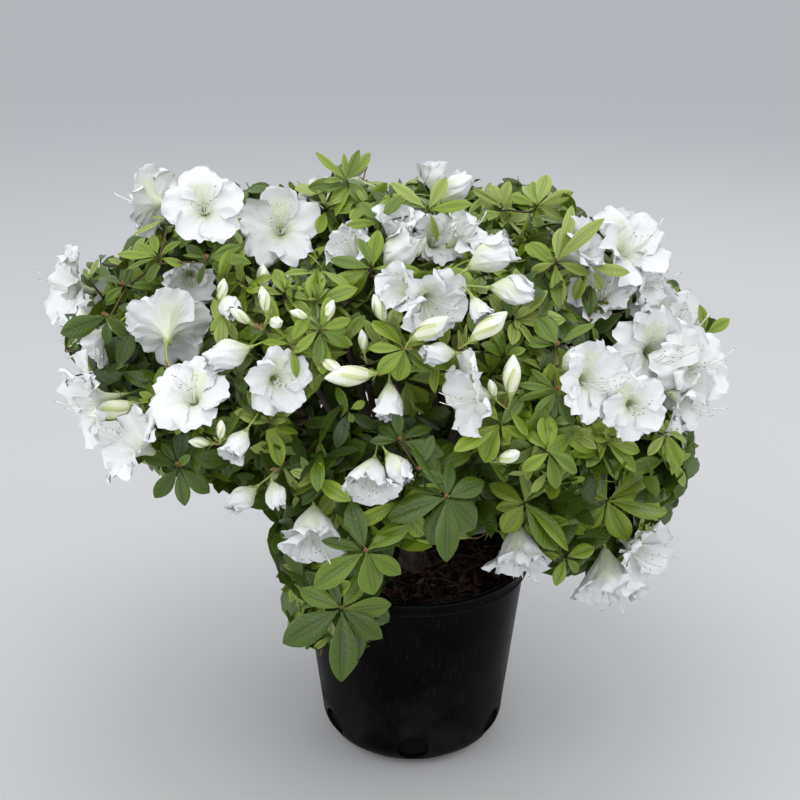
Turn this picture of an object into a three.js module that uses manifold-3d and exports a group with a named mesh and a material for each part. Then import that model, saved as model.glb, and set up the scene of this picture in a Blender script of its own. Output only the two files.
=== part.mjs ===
// White-flowering azalea shrub in its black nursery pot, in millimetres.
// +Z is up, -Y is the front. The origin is the middle of the pot's flat underside.
// The pot holds a root ball of bark compost. A short stem forks into boughs, each bough ends
// where it enters its mass of foliage, and the masses stand round an open heart as a low dome.

import * as THREE from "three";
import { mergeVertices } from "three/addons/utils/BufferGeometryUtils.js";
import Module from "manifold-3d";

const wasm = await Module();
wasm.setup();

// Driving dimensions of the pot
const potRimDiameter = 236;
const potFootDiameter = 184;
const potHeight = 204;
const potWall = 2.4;
const potFloor = 3;
const rimBandHeight = 13;
const rimBandWidth = 2.5;
const rimEdge = 1.5;
const footRounding = 30;
const footTurns = { outside: [0, 35, 65, 90], inside: [0, 50, 90], rootBall: [0, 90] };
const potSides = 24;

// Round drain holes through the wall above the foot, and a notch through the corner beside each
const drainHoles = { count: 6, radius: 16, height: 25, depth: 20, sides: 8 };
const drainNotches = { turn: 26, out: 79, width: 18, height: 10, depth: 18 };

// Root ball: its surface is a low crown with two sets of shallow waves
const soilBelowRim = 24;
const soilCrown = 5;
const soilUnevenness = 2.5;
const soilWaves = { x: 9, y: 11, slanting: 17 };
const soilRings = [0.64];
const seatRadius = 24;

// Dome of foliage: how far its furthest tips reach from its heart
const heart = new THREE.Vector3(-22, 5, 362);
const reach = { left: 340, right: 324, front: 272, back: 280, up: 244, down: 150 };
const domeSquareness = 2.6;
const fallToBack = 0.3;

// Rings of foliage masses, from the top down. Sizes are half-sizes of each mass:
// across the ring, along the slope of the dome, and through its thickness. Angles are in degrees.
const rings = [
  { name: "crest", count: 3, elevation: 68, turn: 30, across: 88, along: 80, thick: 44 },
  { name: "shoulder", count: 8, elevation: 37, turn: 22, across: 84, along: 72, thick: 46 },
  { name: "flank", count: 11, elevation: 8, turn: 6, across: 79, along: 66, thick: 44 },
];
const ringSway = { angle: 4, turnRate: 2.3, riseRate: 3.7 };
const flankRise = { left: 8, right: 4 };

// Uneven skin of each mass: shares of its size, waves over its half-size, and the step between seeds
const bulges = { share: 0.13, across: 3.1, along: 2.7 };
const ripples = { share: 0.06, through: 5.3, across: 4.1 };
const seedStep = 1.37;

// Low masses that hang beside the pot: compass angle from +X, distance from the pot's axis, height
const skirts = [
  { name: "skirt_front_left", angle: -114, out: 178, height: 236, across: 56, along: 84, thick: 38 },
  { name: "skirt_front_right", angle: -62, out: 176, height: 296, across: 62, along: 46, thick: 36 },
  { name: "skirt_right", angle: -20, out: 218, height: 268, across: 74, along: 62, thick: 38 },
  { name: "skirt_back_right", angle: 52, out: 196, height: 284, across: 70, along: 52, thick: 36 },
  { name: "skirt_back_left", angle: 136, out: 200, height: 286, across: 72, along: 50, thick: 36 },
];

// Limbs: radii at the foot and the tip, and how far a limb rises or sinks where it bends
const stem = { lean: 6, rise: 44, flareRadius: 17, footRadius: 12, forkRadius: 10, flareShare: 0.3 };
const boughRadius = { crest: [7, 4], shoulder: [6.5, 3.4], flank: [4.6, 2.6], skirt: [4.2, 2.4] };
const forkOffset = { out: 9, down: 4 };
const branchShare = { flank: 0.42, skirt: 0.2 };
const bend = { share: 0.45, sink: 12, skirtLift: 34 };
const limbSides = 5;
const limbSteps = 3;

// Gap between neighbours, and how far apart two masses may be and still touch
const clearance = 0.6;
const neighbourRange = 260;
const massDetail = 2;

// A cut leaves no edge or sliver finer than this
const finest = 0.1;

const radians = THREE.MathUtils.degToRad;

// A closed three.js geometry as a solid that can be cut and joined.
function solidOf(geometry) {
  const bare = geometry.clone();
  bare.deleteAttribute("normal");
  bare.deleteAttribute("uv");
  const merged = mergeVertices(bare, 1e-3);
  return new wasm.Manifold(
    new wasm.Mesh({
      numProp: 3,
      vertProperties: new Float32Array(merged.attributes.position.array),
      triVerts: new Uint32Array(merged.index.array),
    }),
  );
}

// A solid as a three.js geometry.
function geometryOf(solid) {
  const { numProp, numVert, vertProperties, triVerts } = solid.getMesh();
  const points = new Float32Array(numVert * 3);
  for (let i = 0; i < numVert; i++) {
    points.set(vertProperties.subarray(i * numProp, i * numProp + 3), i * 3);
  }
  const geometry = new THREE.BufferGeometry();
  geometry.setAttribute("position", new THREE.BufferAttribute(points, 3));
  geometry.setIndex(new THREE.BufferAttribute(new Uint32Array(triVerts), 1));
  geometry.computeVertexNormals();
  return geometry;
}

// Moves each vertex of a geometry to where rule(vertex) puts it.
function reshaped(geometry, rule) {
  const position = geometry.attributes.position;
  const vertex = new THREE.Vector3();
  for (let i = 0; i < position.count; i++) {
    vertex.fromBufferAttribute(position, i);
    rule(vertex);
    position.setXYZ(i, vertex.x, vertex.y, vertex.z);
  }
  return geometry;
}

// A turned piece: its profile of [radius, height] goes round the Z axis.
function turned(profile) {
  const points = profile.map(([r, z]) => new THREE.Vector2(r, z));
  return new THREE.LatheGeometry(points, potSides).rotateX(Math.PI / 2);
}

// Outer radius of the pot's wall at a height.
function wallRadius(z) {
  const top = potRimDiameter / 2 - rimBandWidth;
  return THREE.MathUtils.lerp(potFootDiameter / 2, top, z / potHeight);
}

// Points [radius, height] of the rounded foot at some turns, so far inside the pot's outer skin,
// from the floor up
function footCurve(inset, turns) {
  const round = footRounding - inset;
  return turns.map((a) => {
    const out = wallRadius(footRounding) - inset - round * (1 - Math.sin(radians(a)));
    return [out, footRounding - round * Math.cos(radians(a))];
  });
}

// Open tapering shell with a rounded foot, a flat floor and a band round its rim
function pot() {
  const rim = potRimDiameter / 2;
  const bandFoot = potHeight - rimBandHeight;
  const shell = solidOf(
    turned([
      [0, 0],
      ...footCurve(0, footTurns.outside),
      [wallRadius(bandFoot), bandFoot],
      [rim, bandFoot + rimEdge],
      [rim, potHeight],
      [wallRadius(potHeight) - potWall, potHeight],
      ...footCurve(potFloor, footTurns.inside).reverse(),
      [0, potFloor],
    ]),
  );
  const { count, radius, height, depth, sides } = drainHoles;
  const cuts = [];
  for (let i = 0; i < count; i++) {
    const turn = (360 / count) * (i + 0.5);
    const hole = new THREE.CylinderGeometry(radius, radius, depth, sides).rotateZ(Math.PI / 2);
    hole.translate(potFootDiameter / 2, 0, height).rotateZ(radians(turn));
    const notch = new THREE.BoxGeometry(drainNotches.depth, drainNotches.width, drainNotches.height * 2);
    notch.translate(drainNotches.out, 0, 0).rotateZ(radians(turn + drainNotches.turn));
    cuts.push(solidOf(hole), solidOf(notch));
  }
  return cuts.reduce((shape, cut) => shape.subtract(cut), shell);
}

// Height of the compost's surface: a low crown with a flat seat for the stem
function soilHeight(x, y) {
  const r = Math.hypot(x, y);
  const level = potHeight - soilBelowRim;
  if (r < seatRadius) return level + soilCrown;
  const fall = (r - seatRadius) / (wallRadius(level) - seatRadius);
  const { x: waveX, y: waveY, slanting } = soilWaves;
  const rough = Math.sin(x / waveX) * Math.cos(y / waveY) + Math.sin((x + y) / slanting);
  return level + soilCrown * (1 - fall) + soilUnevenness * rough * Math.min(1, fall * 2);
}

// Compost that fills the pot up to a little below the rim. Its top is turned one step above its
// edge, and each point there is then put at the surface's height.
function rootBall() {
  const level = potHeight - soilBelowRim;
  const edge = wallRadius(level) - potWall - clearance;
  const step = 1;
  const profile = [
    [0, potFloor + clearance],
    ...footCurve(potFloor + clearance, footTurns.rootBall),
    [edge, level],
    ...soilRings.map((share) => [edge * share, level + step]),
    [seatRadius - step, level + step],
    [0, level + step],
  ];
  return solidOf(
    reshaped(turned(profile), (v) => {
      if (v.z > level + step / 2) v.z = soilHeight(v.x, v.y);
    }),
  );
}

// A limb that tapers from one radius to another along a curve.
function limb(curve, [footRadius, tipRadius], swell = 0) {
  const rod = new THREE.CylinderGeometry(tipRadius + swell, footRadius + swell, 1, limbSides, limbSteps);
  const frames = curve.computeFrenetFrames(limbSteps);
  return solidOf(
    reshaped(rod, (v) => {
      const share = v.y + 0.5;
      const step = Math.round(share * limbSteps);
      const { x, z } = v;
      v.copy(curve.getPointAt(share));
      v.addScaledVector(frames.normals[step], x);
      v.addScaledVector(frames.binormals[step], -z);
    }),
  );
}

// Furthest point of the dome in a direction: a squarish ellipsoid that falls away to the back.
function domePoint(direction) {
  const span = [
    direction.x < 0 ? reach.left : reach.right,
    direction.y < 0 ? reach.front : reach.back,
    direction.z < 0 ? reach.down : reach.up,
  ];
  const sum = direction
    .toArray()
    .reduce((total, part, i) => total + Math.abs(part / span[i]) ** domeSquareness, 0);
  const point = direction.clone().multiplyScalar(sum ** (-1 / domeSquareness));
  point.z -= fallToBack * Math.max(0, point.y);
  return point.add(heart);
}

// An uneven closed lump. Its thickness points along facing; seed shifts its hollows and bulges.
function lump({ centre, facing, across, along, thick, seed }, swell = 0) {
  const turn = new THREE.Matrix4().lookAt(facing, new THREE.Vector3(), new THREE.Vector3(0, 0, 1));
  return solidOf(
    reshaped(new THREE.IcosahedronGeometry(1, massDetail), (v) => {
      const bulge = Math.sin(bulges.across * v.x + seed) * Math.cos(bulges.along * v.y + 2 * seed);
      const ripple = Math.sin(ripples.through * v.z + ripples.across * v.x + seed / 2);
      const scale = 1 + bulges.share * bulge + ripples.share * ripple;
      v.set(v.x * (across * scale + swell), v.y * (along * scale + swell), v.z * (thick * scale + swell));
      v.applyMatrix4(turn).add(centre);
    }),
  );
}

// Every foliage mass: the rings of the dome, then the low masses beside the pot
function massPlans() {
  const plans = [];
  for (const ring of rings) {
    for (let i = 0; i < ring.count; i++) {
      const turnSway = ringSway.angle * Math.sin(i * ringSway.turnRate);
      const angle = radians(ring.turn + (360 / ring.count) * i + turnSway);
      const sideways = Math.cos(angle);
      const lift = ring.name === "flank" ? flankRise[sideways < 0 ? "left" : "right"] : 0;
      const riseSway = ringSway.angle * Math.sin(i * ringSway.riseRate);
      const rise = radians(ring.elevation + lift * Math.abs(sideways) + riseSway);
      const facing = new THREE.Vector3(
        Math.cos(rise) * Math.cos(angle),
        Math.cos(rise) * Math.sin(angle),
        Math.sin(rise),
      );
      plans.push({
        ...ring,
        ring: ring.name,
        name: `${ring.name}_${i + 1}`,
        facing,
        centre: domePoint(facing).addScaledVector(facing, -ring.thick),
        seed: plans.length * seedStep,
      });
    }
  }
  for (const low of skirts) {
    const angle = radians(low.angle);
    const facing = new THREE.Vector3(Math.cos(angle), Math.sin(angle), 0);
    plans.push({
      ...low,
      ring: "skirt",
      facing,
      centre: facing.clone().multiplyScalar(low.out).setZ(low.height),
      seed: plans.length * seedStep,
    });
  }
  return plans;
}

// The largest of the bodies that a cut leaves
function largest(solid) {
  const bodies = solid.simplify(finest).decompose();
  return bodies.reduce((best, body) => (body.volume() > best.volume() ? body : best));
}

// The body of a cut limb that holds its foot
function footOf(solid, foot) {
  const gap = (body) => {
    const { min, max } = body.boundingBox();
    return new THREE.Box3(new THREE.Vector3(...min), new THREE.Vector3(...max)).distanceToPoint(foot);
  };
  const bodies = solid.simplify(finest).decompose();
  return bodies.reduce((best, body) => (gap(body) < gap(best) ? body : best));
}

const soilTop = potHeight - soilBelowRim + soilCrown;
const stemFoot = new THREE.Vector3(0, 0, soilTop + clearance);
const fork = new THREE.Vector3(-stem.lean, stem.lean, stemFoot.z + stem.rise);

// Short leaning stem with its root flare
function stemShape(swell = 0) {
  const flareTop = stemFoot.clone().lerp(fork, stem.flareShare);
  const trunk = limb(new THREE.LineCurve3(stemFoot, fork), [stem.footRadius, stem.forkRadius], swell);
  const flare = limb(
    new THREE.LineCurve3(stemFoot, flareTop),
    [stem.flareRadius, stem.forkRadius],
    swell,
  );
  return trunk.add(flare);
}

// The stem cut flat where it stands on the compost
function stemBase() {
  const size = 8 * stem.flareRadius;
  const ground = new THREE.BoxGeometry(size, size, size).translate(0, 0, stemFoot.z - size / 2);
  return stemShape().subtract(solidOf(ground));
}

// A limb's line from where it leaves the stem or another bough, through its bend, to its mass
function limbCurve(plan, from) {
  const turn = from.clone().lerp(plan.centre, bend.share);
  turn.z += plan.ring === "skirt" ? bend.skirtLift : -bend.sink;
  return new THREE.QuadraticBezierCurve3(from, turn, plan.centre);
}

const plans = massPlans();
const inRings = (...names) => plans.filter((plan) => names.includes(plan.ring));

// Masses are cut back from each other, upper ones first, so that they only nearly touch
const masses = [];
for (const plan of plans) {
  const near = masses.filter((other) => other.plan.centre.distanceTo(plan.centre) < neighbourRange);
  const body = near.reduce((shape, other) => shape.subtract(other.swollen), lump(plan));
  masses.push({ plan, swollen: lump(plan, clearance), solid: largest(body) });
}

// Limbs are cut back from the stem, from earlier limbs and from every mass
const limbs = [];
function addLimb(plan, from) {
  const curve = limbCurve(plan, from);
  const radii = boughRadius[plan.ring];
  const blockers = [stemShape(clearance), ...limbs.concat(masses).map((other) => other.swollen)];
  const body = blockers.reduce((shape, other) => shape.subtract(other), limb(curve, radii));
  limbs.push({ plan, curve, swollen: limb(curve, radii, clearance), solid: footOf(body, from) });
}

// Boughs: one to each crest and shoulder mass, all from the fork
for (const plan of inRings("crest", "shoulder")) {
  const from = fork.clone().addScaledVector(plan.facing, forkOffset.out).setZ(fork.z - forkOffset.down);
  addLimb(plan, from);
}

// Flank and skirt masses hang on side branches of the nearest shoulder bough
const boughs = limbs.filter((one) => one.plan.ring === "shoulder");
for (const plan of inRings("flank", "skirt")) {
  const starts = boughs.map((bough) => bough.curve.getPointAt(branchShare[plan.ring]));
  const gap = (point) => point.distanceTo(plan.centre);
  addLimb(plan, starts.reduce((best, point) => (gap(point) < gap(best) ? point : best)));
}

const finishes = {
  pot: new THREE.MeshStandardMaterial({ color: 0x17181a, roughness: 0.42, metalness: 0 }),
  compost: new THREE.MeshStandardMaterial({ color: 0x2e1f18, roughness: 0.95, metalness: 0 }),
  bark: new THREE.MeshStandardMaterial({ color: 0x4b3329, roughness: 0.85, metalness: 0 }),
  leaves: new THREE.MeshStandardMaterial({ color: 0x5c8a34, roughness: 0.55, metalness: 0 }),
};

const shrub = new THREE.Group();
shrub.name = "azalea_shrub";

function addNode(name, solid, finish) {
  const mesh = new THREE.Mesh(geometryOf(solid), finish);
  mesh.name = name;
  shrub.add(mesh);
}

addNode("pot", pot(), finishes.pot);
addNode("root_ball", rootBall(), finishes.compost);
addNode("stem", stemBase(), finishes.bark);
for (const { plan, solid } of limbs) addNode(`bough_${plan.name}`, solid, finishes.bark);
for (const { plan, solid } of masses) addNode(`foliage_${plan.name}`, solid, finishes.leaves);

export default shrub;
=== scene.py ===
import math

import bpy
import numpy as np
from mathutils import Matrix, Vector
from mathutils.bvhtree import BVHTree


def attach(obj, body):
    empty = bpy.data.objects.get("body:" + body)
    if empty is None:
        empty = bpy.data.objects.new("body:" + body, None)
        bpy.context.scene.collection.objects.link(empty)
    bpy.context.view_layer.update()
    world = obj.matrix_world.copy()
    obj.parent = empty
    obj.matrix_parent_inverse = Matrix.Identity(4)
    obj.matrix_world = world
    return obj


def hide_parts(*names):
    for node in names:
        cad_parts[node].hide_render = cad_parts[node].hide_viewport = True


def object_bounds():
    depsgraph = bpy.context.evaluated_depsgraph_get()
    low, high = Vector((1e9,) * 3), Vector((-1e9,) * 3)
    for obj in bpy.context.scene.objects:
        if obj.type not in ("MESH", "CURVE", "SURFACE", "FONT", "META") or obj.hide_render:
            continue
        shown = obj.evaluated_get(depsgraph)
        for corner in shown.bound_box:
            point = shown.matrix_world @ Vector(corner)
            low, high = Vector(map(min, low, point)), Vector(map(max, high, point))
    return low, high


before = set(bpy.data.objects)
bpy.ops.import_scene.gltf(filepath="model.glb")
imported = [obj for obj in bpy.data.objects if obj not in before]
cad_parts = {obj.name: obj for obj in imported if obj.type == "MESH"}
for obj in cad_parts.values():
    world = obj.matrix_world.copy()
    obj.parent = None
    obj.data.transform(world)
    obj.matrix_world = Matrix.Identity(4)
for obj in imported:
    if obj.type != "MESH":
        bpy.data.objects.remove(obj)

# A white azalea in its black nursery pot, in metres and in the frame's own axes: +Z up and -Y the front.
# The limbs come from the frame's limb nodes. Twigs grow on from them to the skin of each foliage mass,
# and leaf whorls, flowers and buds stand on the twigs.

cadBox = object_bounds()
mm = 0.001
bodyName = "root"
up = np.array([0.0, 0.0, 1.0])
fullTurn = 2 * math.pi
goldenAngle = math.radians(137.5)
anyPhase = 6.3  # random phases run from 0 to a little over a full turn


# Numbers and arrays

def unit(v):
    # Each vector over its own length
    return v / np.maximum(np.linalg.norm(v, axis=-1, keepdims=True), 1e-12)


def ease(x, low=0.0, high=1.0):
    # 0 below low, 1 above high, and a smooth step 3t^2 - 2t^3 between
    t = np.clip((x - low) / (high - low), 0, 1)
    return t * t * (3 - 2 * t)


def mix(a, b, share):
    # a where share is 0, b where it is 1
    return a + (b - a) * share


def across(direction):
    # Two unit vectors square to each direction, so that first x second = direction. The helper is Z, or X
    # for directions near Z.
    upright = np.abs(direction[..., 2:3]) > 0.9
    helper = np.where(upright, [1.0, 0.0, 0.0], [0.0, 0.0, 1.0])
    first = unit(np.cross(helper, direction))
    return first, np.cross(direction, first)


def circle(count):
    # The angles of so many places round a circle
    return np.arange(count) * fullTurn / count


def bezier(start, one, two, end, t):
    # A cubic curve from start to end, which leaves towards one and comes in from two
    return (1 - t) ** 3 * start + 3 * (1 - t) ** 2 * t * one + 3 * (1 - t) * t ** 2 * two + t ** 3 * end


def cloud(points, seed, scale, octaves=3):
    # Smooth noise from -1 to 1: at each octave three sines along seeded slanting directions, twice as fine
    # and half as strong as those of the octave before
    rng = np.random.default_rng(seed)
    total = np.zeros(points.shape[:-1])
    weight = 0.0
    for octave in range(octaves):
        size = 2.0 ** octave
        for _ in range(3):
            slant = unit(rng.normal(size=3)) * scale * size
            total += np.sin(points @ slant + rng.uniform(0, fullTurn)) / size
            weight += 1 / size
    return total / weight


# Meshes

class Pile:
    # The parts of one piece: points, faces of any width, a UV for each point and a material number for
    # each face

    def __init__(self):
        self.points, self.uvs, self.faces, self.looks, self.size = [], [], [], [], 0

    def add(self, points, faces, uv=None, look=0):
        points = np.asarray(points, float).reshape(-1, 3)
        self.points.append(points)
        self.uvs.append(np.zeros((len(points), 2)) if uv is None else np.asarray(uv, float).reshape(-1, 2))
        for part in faces if isinstance(faces, list) else [faces]:
            self.faces.append(part + self.size)
            self.looks.append(np.full(len(part), look))
        self.size += len(points)

    def addTubes(self, lines, radii, cols, look=0):
        self.add(tubes(lines, radii, cols), tubeFaces(lines.shape[1], cols, len(lines)), look=look)


def gridFaces(rows, cols, count=1, wrap=False):
    # Quads of count grids that follow each other, each of rows x cols points. wrap joins the last column to
    # the first.
    row = np.arange(rows - 1)[:, None] * cols
    col = np.arange(cols if wrap else cols - 1)[None]
    after = (col + 1) % cols
    quads = np.stack([row + col, row + after, row + cols + after, row + cols + col], -1).reshape(-1, 4)
    return (quads[None] + (np.arange(count) * rows * cols)[:, None, None]).reshape(-1, 4)


def tubeFaces(rows, cols, count=1):
    # The faces of count closed tubes: their walls, and one flat cap at each end
    start = (np.arange(count) * rows * cols)[:, None]
    ring = np.arange(cols)[None]
    return [gridFaces(rows, cols, count, wrap=True), start + ring[:, ::-1], start + (rows - 1) * cols + ring]


def tubes(lines, radii, cols):
    # Rings round lines of shape (count, rows, 3): line + radius (cos a first + sin a second), square to the
    # line's run
    heading = unit(np.gradient(lines, axis=1))
    chord = unit(lines[:, -1] - lines[:, 0])
    axes = np.eye(3)[np.argmin(np.abs(chord), axis=1)]
    first = unit(np.cross(axes[:, None], heading))
    second = np.cross(heading, first)
    angle = circle(cols)
    wheel = np.cos(angle)[:, None] * first[:, :, None] + np.sin(angle)[:, None] * second[:, :, None]
    return lines[:, :, None] + radii[..., None, None] * wheel


def faceShares(rows, cols):
    # Where the faces of a petal's grid lie: from 0 at its foot to 1 at its rim, and from 0 in its middle
    # column to 1 at its sides
    along = (np.arange(rows - 1) + 0.5)[:, None] / (rows - 1)
    off = np.abs((np.arange(cols - 1) + 0.5)[None] / (cols - 1) - 0.5) * 2
    return along, off


def addObject(name, data):
    # A new object of the scene, at the origin
    made = bpy.data.objects.new(name, data)
    bpy.context.scene.collection.objects.link(made)
    return made


def makePiece(name, pile, looks, nodes=(), flat=False):
    # Puts a pile into a mesh object that rides on the plant's body
    points = np.concatenate(pile.points)
    uvs = np.concatenate(pile.uvs)
    corners = np.concatenate([part.ravel() for part in pile.faces])
    widths = np.concatenate([np.full(len(part), part.shape[1]) for part in pile.faces])
    starts = np.concatenate([[0], np.cumsum(widths)[:-1]])
    mesh = bpy.data.meshes.new(name)
    mesh.vertices.add(len(points))
    mesh.vertices.foreach_set("co", points.astype(np.float32).ravel())
    mesh.loops.add(len(corners))
    mesh.loops.foreach_set("vertex_index", corners.astype(np.int32))
    mesh.polygons.add(len(widths))
    mesh.polygons.foreach_set("loop_start", starts.astype(np.int32))
    mesh.polygons.foreach_set("material_index", np.concatenate(pile.looks).astype(np.int32))
    mesh.polygons.foreach_set("use_smooth", np.full(len(widths), not flat))
    layer = mesh.uv_layers.new(name="OFBake")
    layer.uv.foreach_set("vector", uvs[corners].astype(np.float32).ravel())
    mesh.update(calc_edges=True)
    piece = addObject(name, mesh)
    for look in looks:
        mesh.materials.append(look.material)
    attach(piece, bodyName)
    if nodes:
        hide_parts(*nodes)
    print(f"{name}: {len(points)} points, {int((widths - 2).sum())} triangles")
    return piece


# Node trees

class Look:
    # A Principled material and the few node calls that its pattern needs. A source is a number, a colour or
    # a node's output.

    def __init__(self, name, colour, roughness, specular=0.5):
        self.material = bpy.data.materials.new(name)
        self.material.use_nodes = True
        self.tree = self.material.node_tree
        self.shader = self.tree.nodes["Principled BSDF"]
        self.shader.inputs["Base Color"].default_value = (*colour, 1)
        self.shader.inputs["Roughness"].default_value = roughness
        self.shader.inputs["Specular IOR Level"].default_value = specular

    def node(self, kind, values=None, links=None, **settings):
        made = self.tree.nodes.new("ShaderNode" + kind)
        for key, value in settings.items():
            setattr(made, key, value)
        for key, value in (values or {}).items():
            made.inputs[key].default_value = value
        for key, source in (links or {}).items():
            self.tree.links.new(source, made.inputs[key])
        return made

    def feed(self, socket, source):
        if isinstance(source, (int, float)):
            socket.default_value = source
        elif isinstance(source, tuple):
            socket.default_value = (*source, 1)
        else:
            self.tree.links.new(source, socket)

    def math(self, operation, a, b=0.0):
        made = self.node("Math", operation=operation)
        self.feed(made.inputs[0], a)
        self.feed(made.inputs[1], b)
        return made.outputs[0]

    def times(self, a, b):
        return self.math("MULTIPLY", a, b)

    def ramp(self, value, low, high, start=0.0, end=1.0):
        # start below low, end above high, and a smooth step between
        return self.node(
            "MapRange", {"From Min": low, "From Max": high, "To Min": start, "To Max": end}, {"Value": value},
            interpolation_type="SMOOTHSTEP",
        ).outputs[0]

    def blend(self, share, one, other):
        # one where share is 0 and other where it is 1. Sockets 6 and 7 and output 2 are the node's colours.
        made = self.node("Mix", data_type="RGBA")
        self.feed(made.inputs[0], share)
        self.feed(made.inputs[6], one)
        self.feed(made.inputs[7], other)
        return made.outputs[2]

    def spots(self, place, scale, detail):
        return self.node("TexNoise", {"Scale": scale, "Detail": detail}, {"Vector": place}).outputs[0]

    def place(self, **mapping):
        found = self.node("TexCoord").outputs["Object"]
        return self.node("Mapping", mapping, {"Vector": found}).outputs[0] if mapping else found

    def split(self, place):
        return self.node("SeparateXYZ", links={"Vector": place}).outputs

    def uv(self):
        return self.split(self.node("UVMap", uv_map="OFBake").outputs[0])[:2]

    def uvSpots(self, sideways, along, detail):
        # Noise of so many spots across and along the UV map
        u, v = self.uv()
        stretched = self.node("CombineXYZ", links={"X": self.times(u, sideways), "Y": self.times(v, along)})
        return self.spots(stretched.outputs[0], 1.0, detail)

    def colour(self, source):
        self.feed(self.shader.inputs["Base Color"], source)

    def rough(self, source):
        self.feed(self.shader.inputs["Roughness"], source)

    def bump(self, height, distance, strength):
        made = self.node("Bump", {"Distance": distance, "Strength": strength}, {"Height": height})
        self.feed(self.shader.inputs["Normal"], made.outputs[0])

    def grit(self, scale, detail, distance, strength):
        self.bump(self.spots(self.place(), scale, detail), distance, strength)


# Camera, light and floor. pitchDown is in degrees. focalPixels is the focal length in the pixels of a photo
# that is imagePixels wide, and sensor and clip are the camera's own, in millimetres and metres.

view = {"eye": (-0.013, -1.2645, 0.8605), "pitchDown": 21.3, "focalPixels": 1380.0, "imagePixels": 800.0,
        "sensor": 36.0, "clip": 0.05}

camera = addObject("camera", bpy.data.cameras.new("camera"))
camera.data.sensor_width = view["sensor"]
camera.data.lens = view["focalPixels"] / view["imagePixels"] * view["sensor"]
camera.data.clip_start = view["clip"]
camera.location = view["eye"]
camera.rotation_euler = (math.radians(90 - view["pitchDown"]), 0, 0)
bpy.context.scene.camera = camera
bpy.context.scene.view_settings.view_transform = "Standard"

eye = np.array(view["eye"])
pitch = math.radians(view["pitchDown"])
camRight = np.array([1.0, 0.0, 0.0])
camUp = np.array([0.0, math.sin(pitch), math.cos(pitch)])
camBack = np.array([0.0, -math.cos(pitch), math.sin(pitch)])
midPixel = view["imagePixels"] / 2


def project(points):
    # The photo's pixel of each point, and its distance along the view
    seen = points - eye
    depth = -(seen @ camBack)
    return (midPixel + view["focalPixels"] * (seen @ camRight) / depth,
            midPixel - view["focalPixels"] * (seen @ camUp) / depth, depth)


def pixelRay(px, py):
    # Unit direction from the eye through a pixel of the photo
    side, rise = (px - midPixel) / view["focalPixels"], (midPixel - py) / view["focalPixels"]
    return unit(camRight * side + camUp * rise - camBack)


def fromView(direction):
    # A direction given as (right, up, towards the camera), in the frame's axes
    right, rise, near = direction
    return unit(camRight * right + camUp * rise + camBack * near)


# Each round lamp is given by its name, place, size, watts and tint
studio = {"sky": (0.84, 0.88, 0.94), "skyStrength": 0.90, "aim": (0, 0, 0.3), "lamps": [
    ("overhead", (-0.5, -0.5, 2.4), 2.8, 20, (1.0, 0.99, 0.97)),
    ("left", (-2.2, -1.2, 1.5), 1.8, 9, (0.97, 0.98, 1.0)),
    ("right", (2.1, -0.4, 1.7), 1.8, 14, (1.0, 0.99, 0.98)),
    ("behind", (0.4, 2.0, 2.0), 2.0, 10, (0.97, 0.98, 1.0)),
    ("front", (-0.3, -3.4, 1.5), 2.6, 20, (1.0, 0.99, 0.97)),
]}

world = bpy.data.worlds.new("sky")
bpy.context.scene.world = world
world.use_nodes = True
sky = world.node_tree.nodes["Background"].inputs
sky["Color"].default_value = (*studio["sky"], 1)
sky["Strength"].default_value = studio["skyStrength"]
for name, place, size, watts, tint in studio["lamps"]:
    light = addObject(name, bpy.data.lights.new(name, "AREA"))
    light.data.shape = "DISK"
    light.data.size = size
    light.data.energy = watts
    light.data.color = tint
    light.location = place
    light.rotation_euler = (Vector(studio["aim"]) - light.location).to_track_quat("-Z", "Y").to_euler()

floorSize = {"half": 9.0, "colour": (0.56, 0.555, 0.55), "below": 0.4 * mm}
floorLook = Look("floor", floorSize["colour"], 0.85, 0.2)
floorMesh = bpy.data.meshes.new("floor")
floorCorners = [(floorSize["half"] * x, floorSize["half"] * y, -floorSize["below"])
                for x, y in ((-1, -1), (1, -1), (1, 1), (-1, 1))]
floorMesh.from_pydata(floorCorners, [], [(0, 1, 2, 3)])
floorMesh.materials.append(floorLook.material)
floor = addObject("floor", floorMesh)
print("camera, light and floor made")


# What the frame says of the plant

def cornersOf(node):
    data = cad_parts[node].data
    found = np.empty(len(data.vertices) * 3, np.float32)
    data.vertices.foreach_get("co", found)
    return found.reshape(-1, 3).astype(float)


def trianglesOf(node):
    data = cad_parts[node].data
    data.calc_loop_triangles()
    found = np.empty(len(data.loop_triangles) * 3, np.int32)
    data.loop_triangles.foreach_get("vertices", found)
    return found.reshape(-1, 3)


def treeOf(meshes):
    # A search tree of a few meshes, each given by its points and its faces
    points, faces, offset = [], [], 0
    for corners, polygons in meshes:
        points.append(corners.reshape(-1, 3))
        faces += (polygons + offset).tolist()
        offset += len(points[-1])
    return BVHTree.FromPolygons(np.concatenate(points).tolist(), faces)


def nodesTree(names):
    # A search tree of the surfaces of some nodes
    return treeOf([(cornersOf(name), trianglesOf(name)) for name in names])


massNames = sorted(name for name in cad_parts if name.startswith("foliage_"))
limbNames = sorted(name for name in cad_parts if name.startswith("bough_"))
masses = {}
for name in massNames:
    corners = cornersOf(name)
    masses[name.removeprefix("foliage_")] = {
        "corners": corners, "triangles": trianglesOf(name), "centre": corners.mean(0)}
crownTree = nodesTree(massNames)
solidTree = nodesTree(["pot", "root_ball", "stem"] + limbNames)
crownCentre = np.mean([mass["centre"] for mass in masses.values()], 0)

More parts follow.
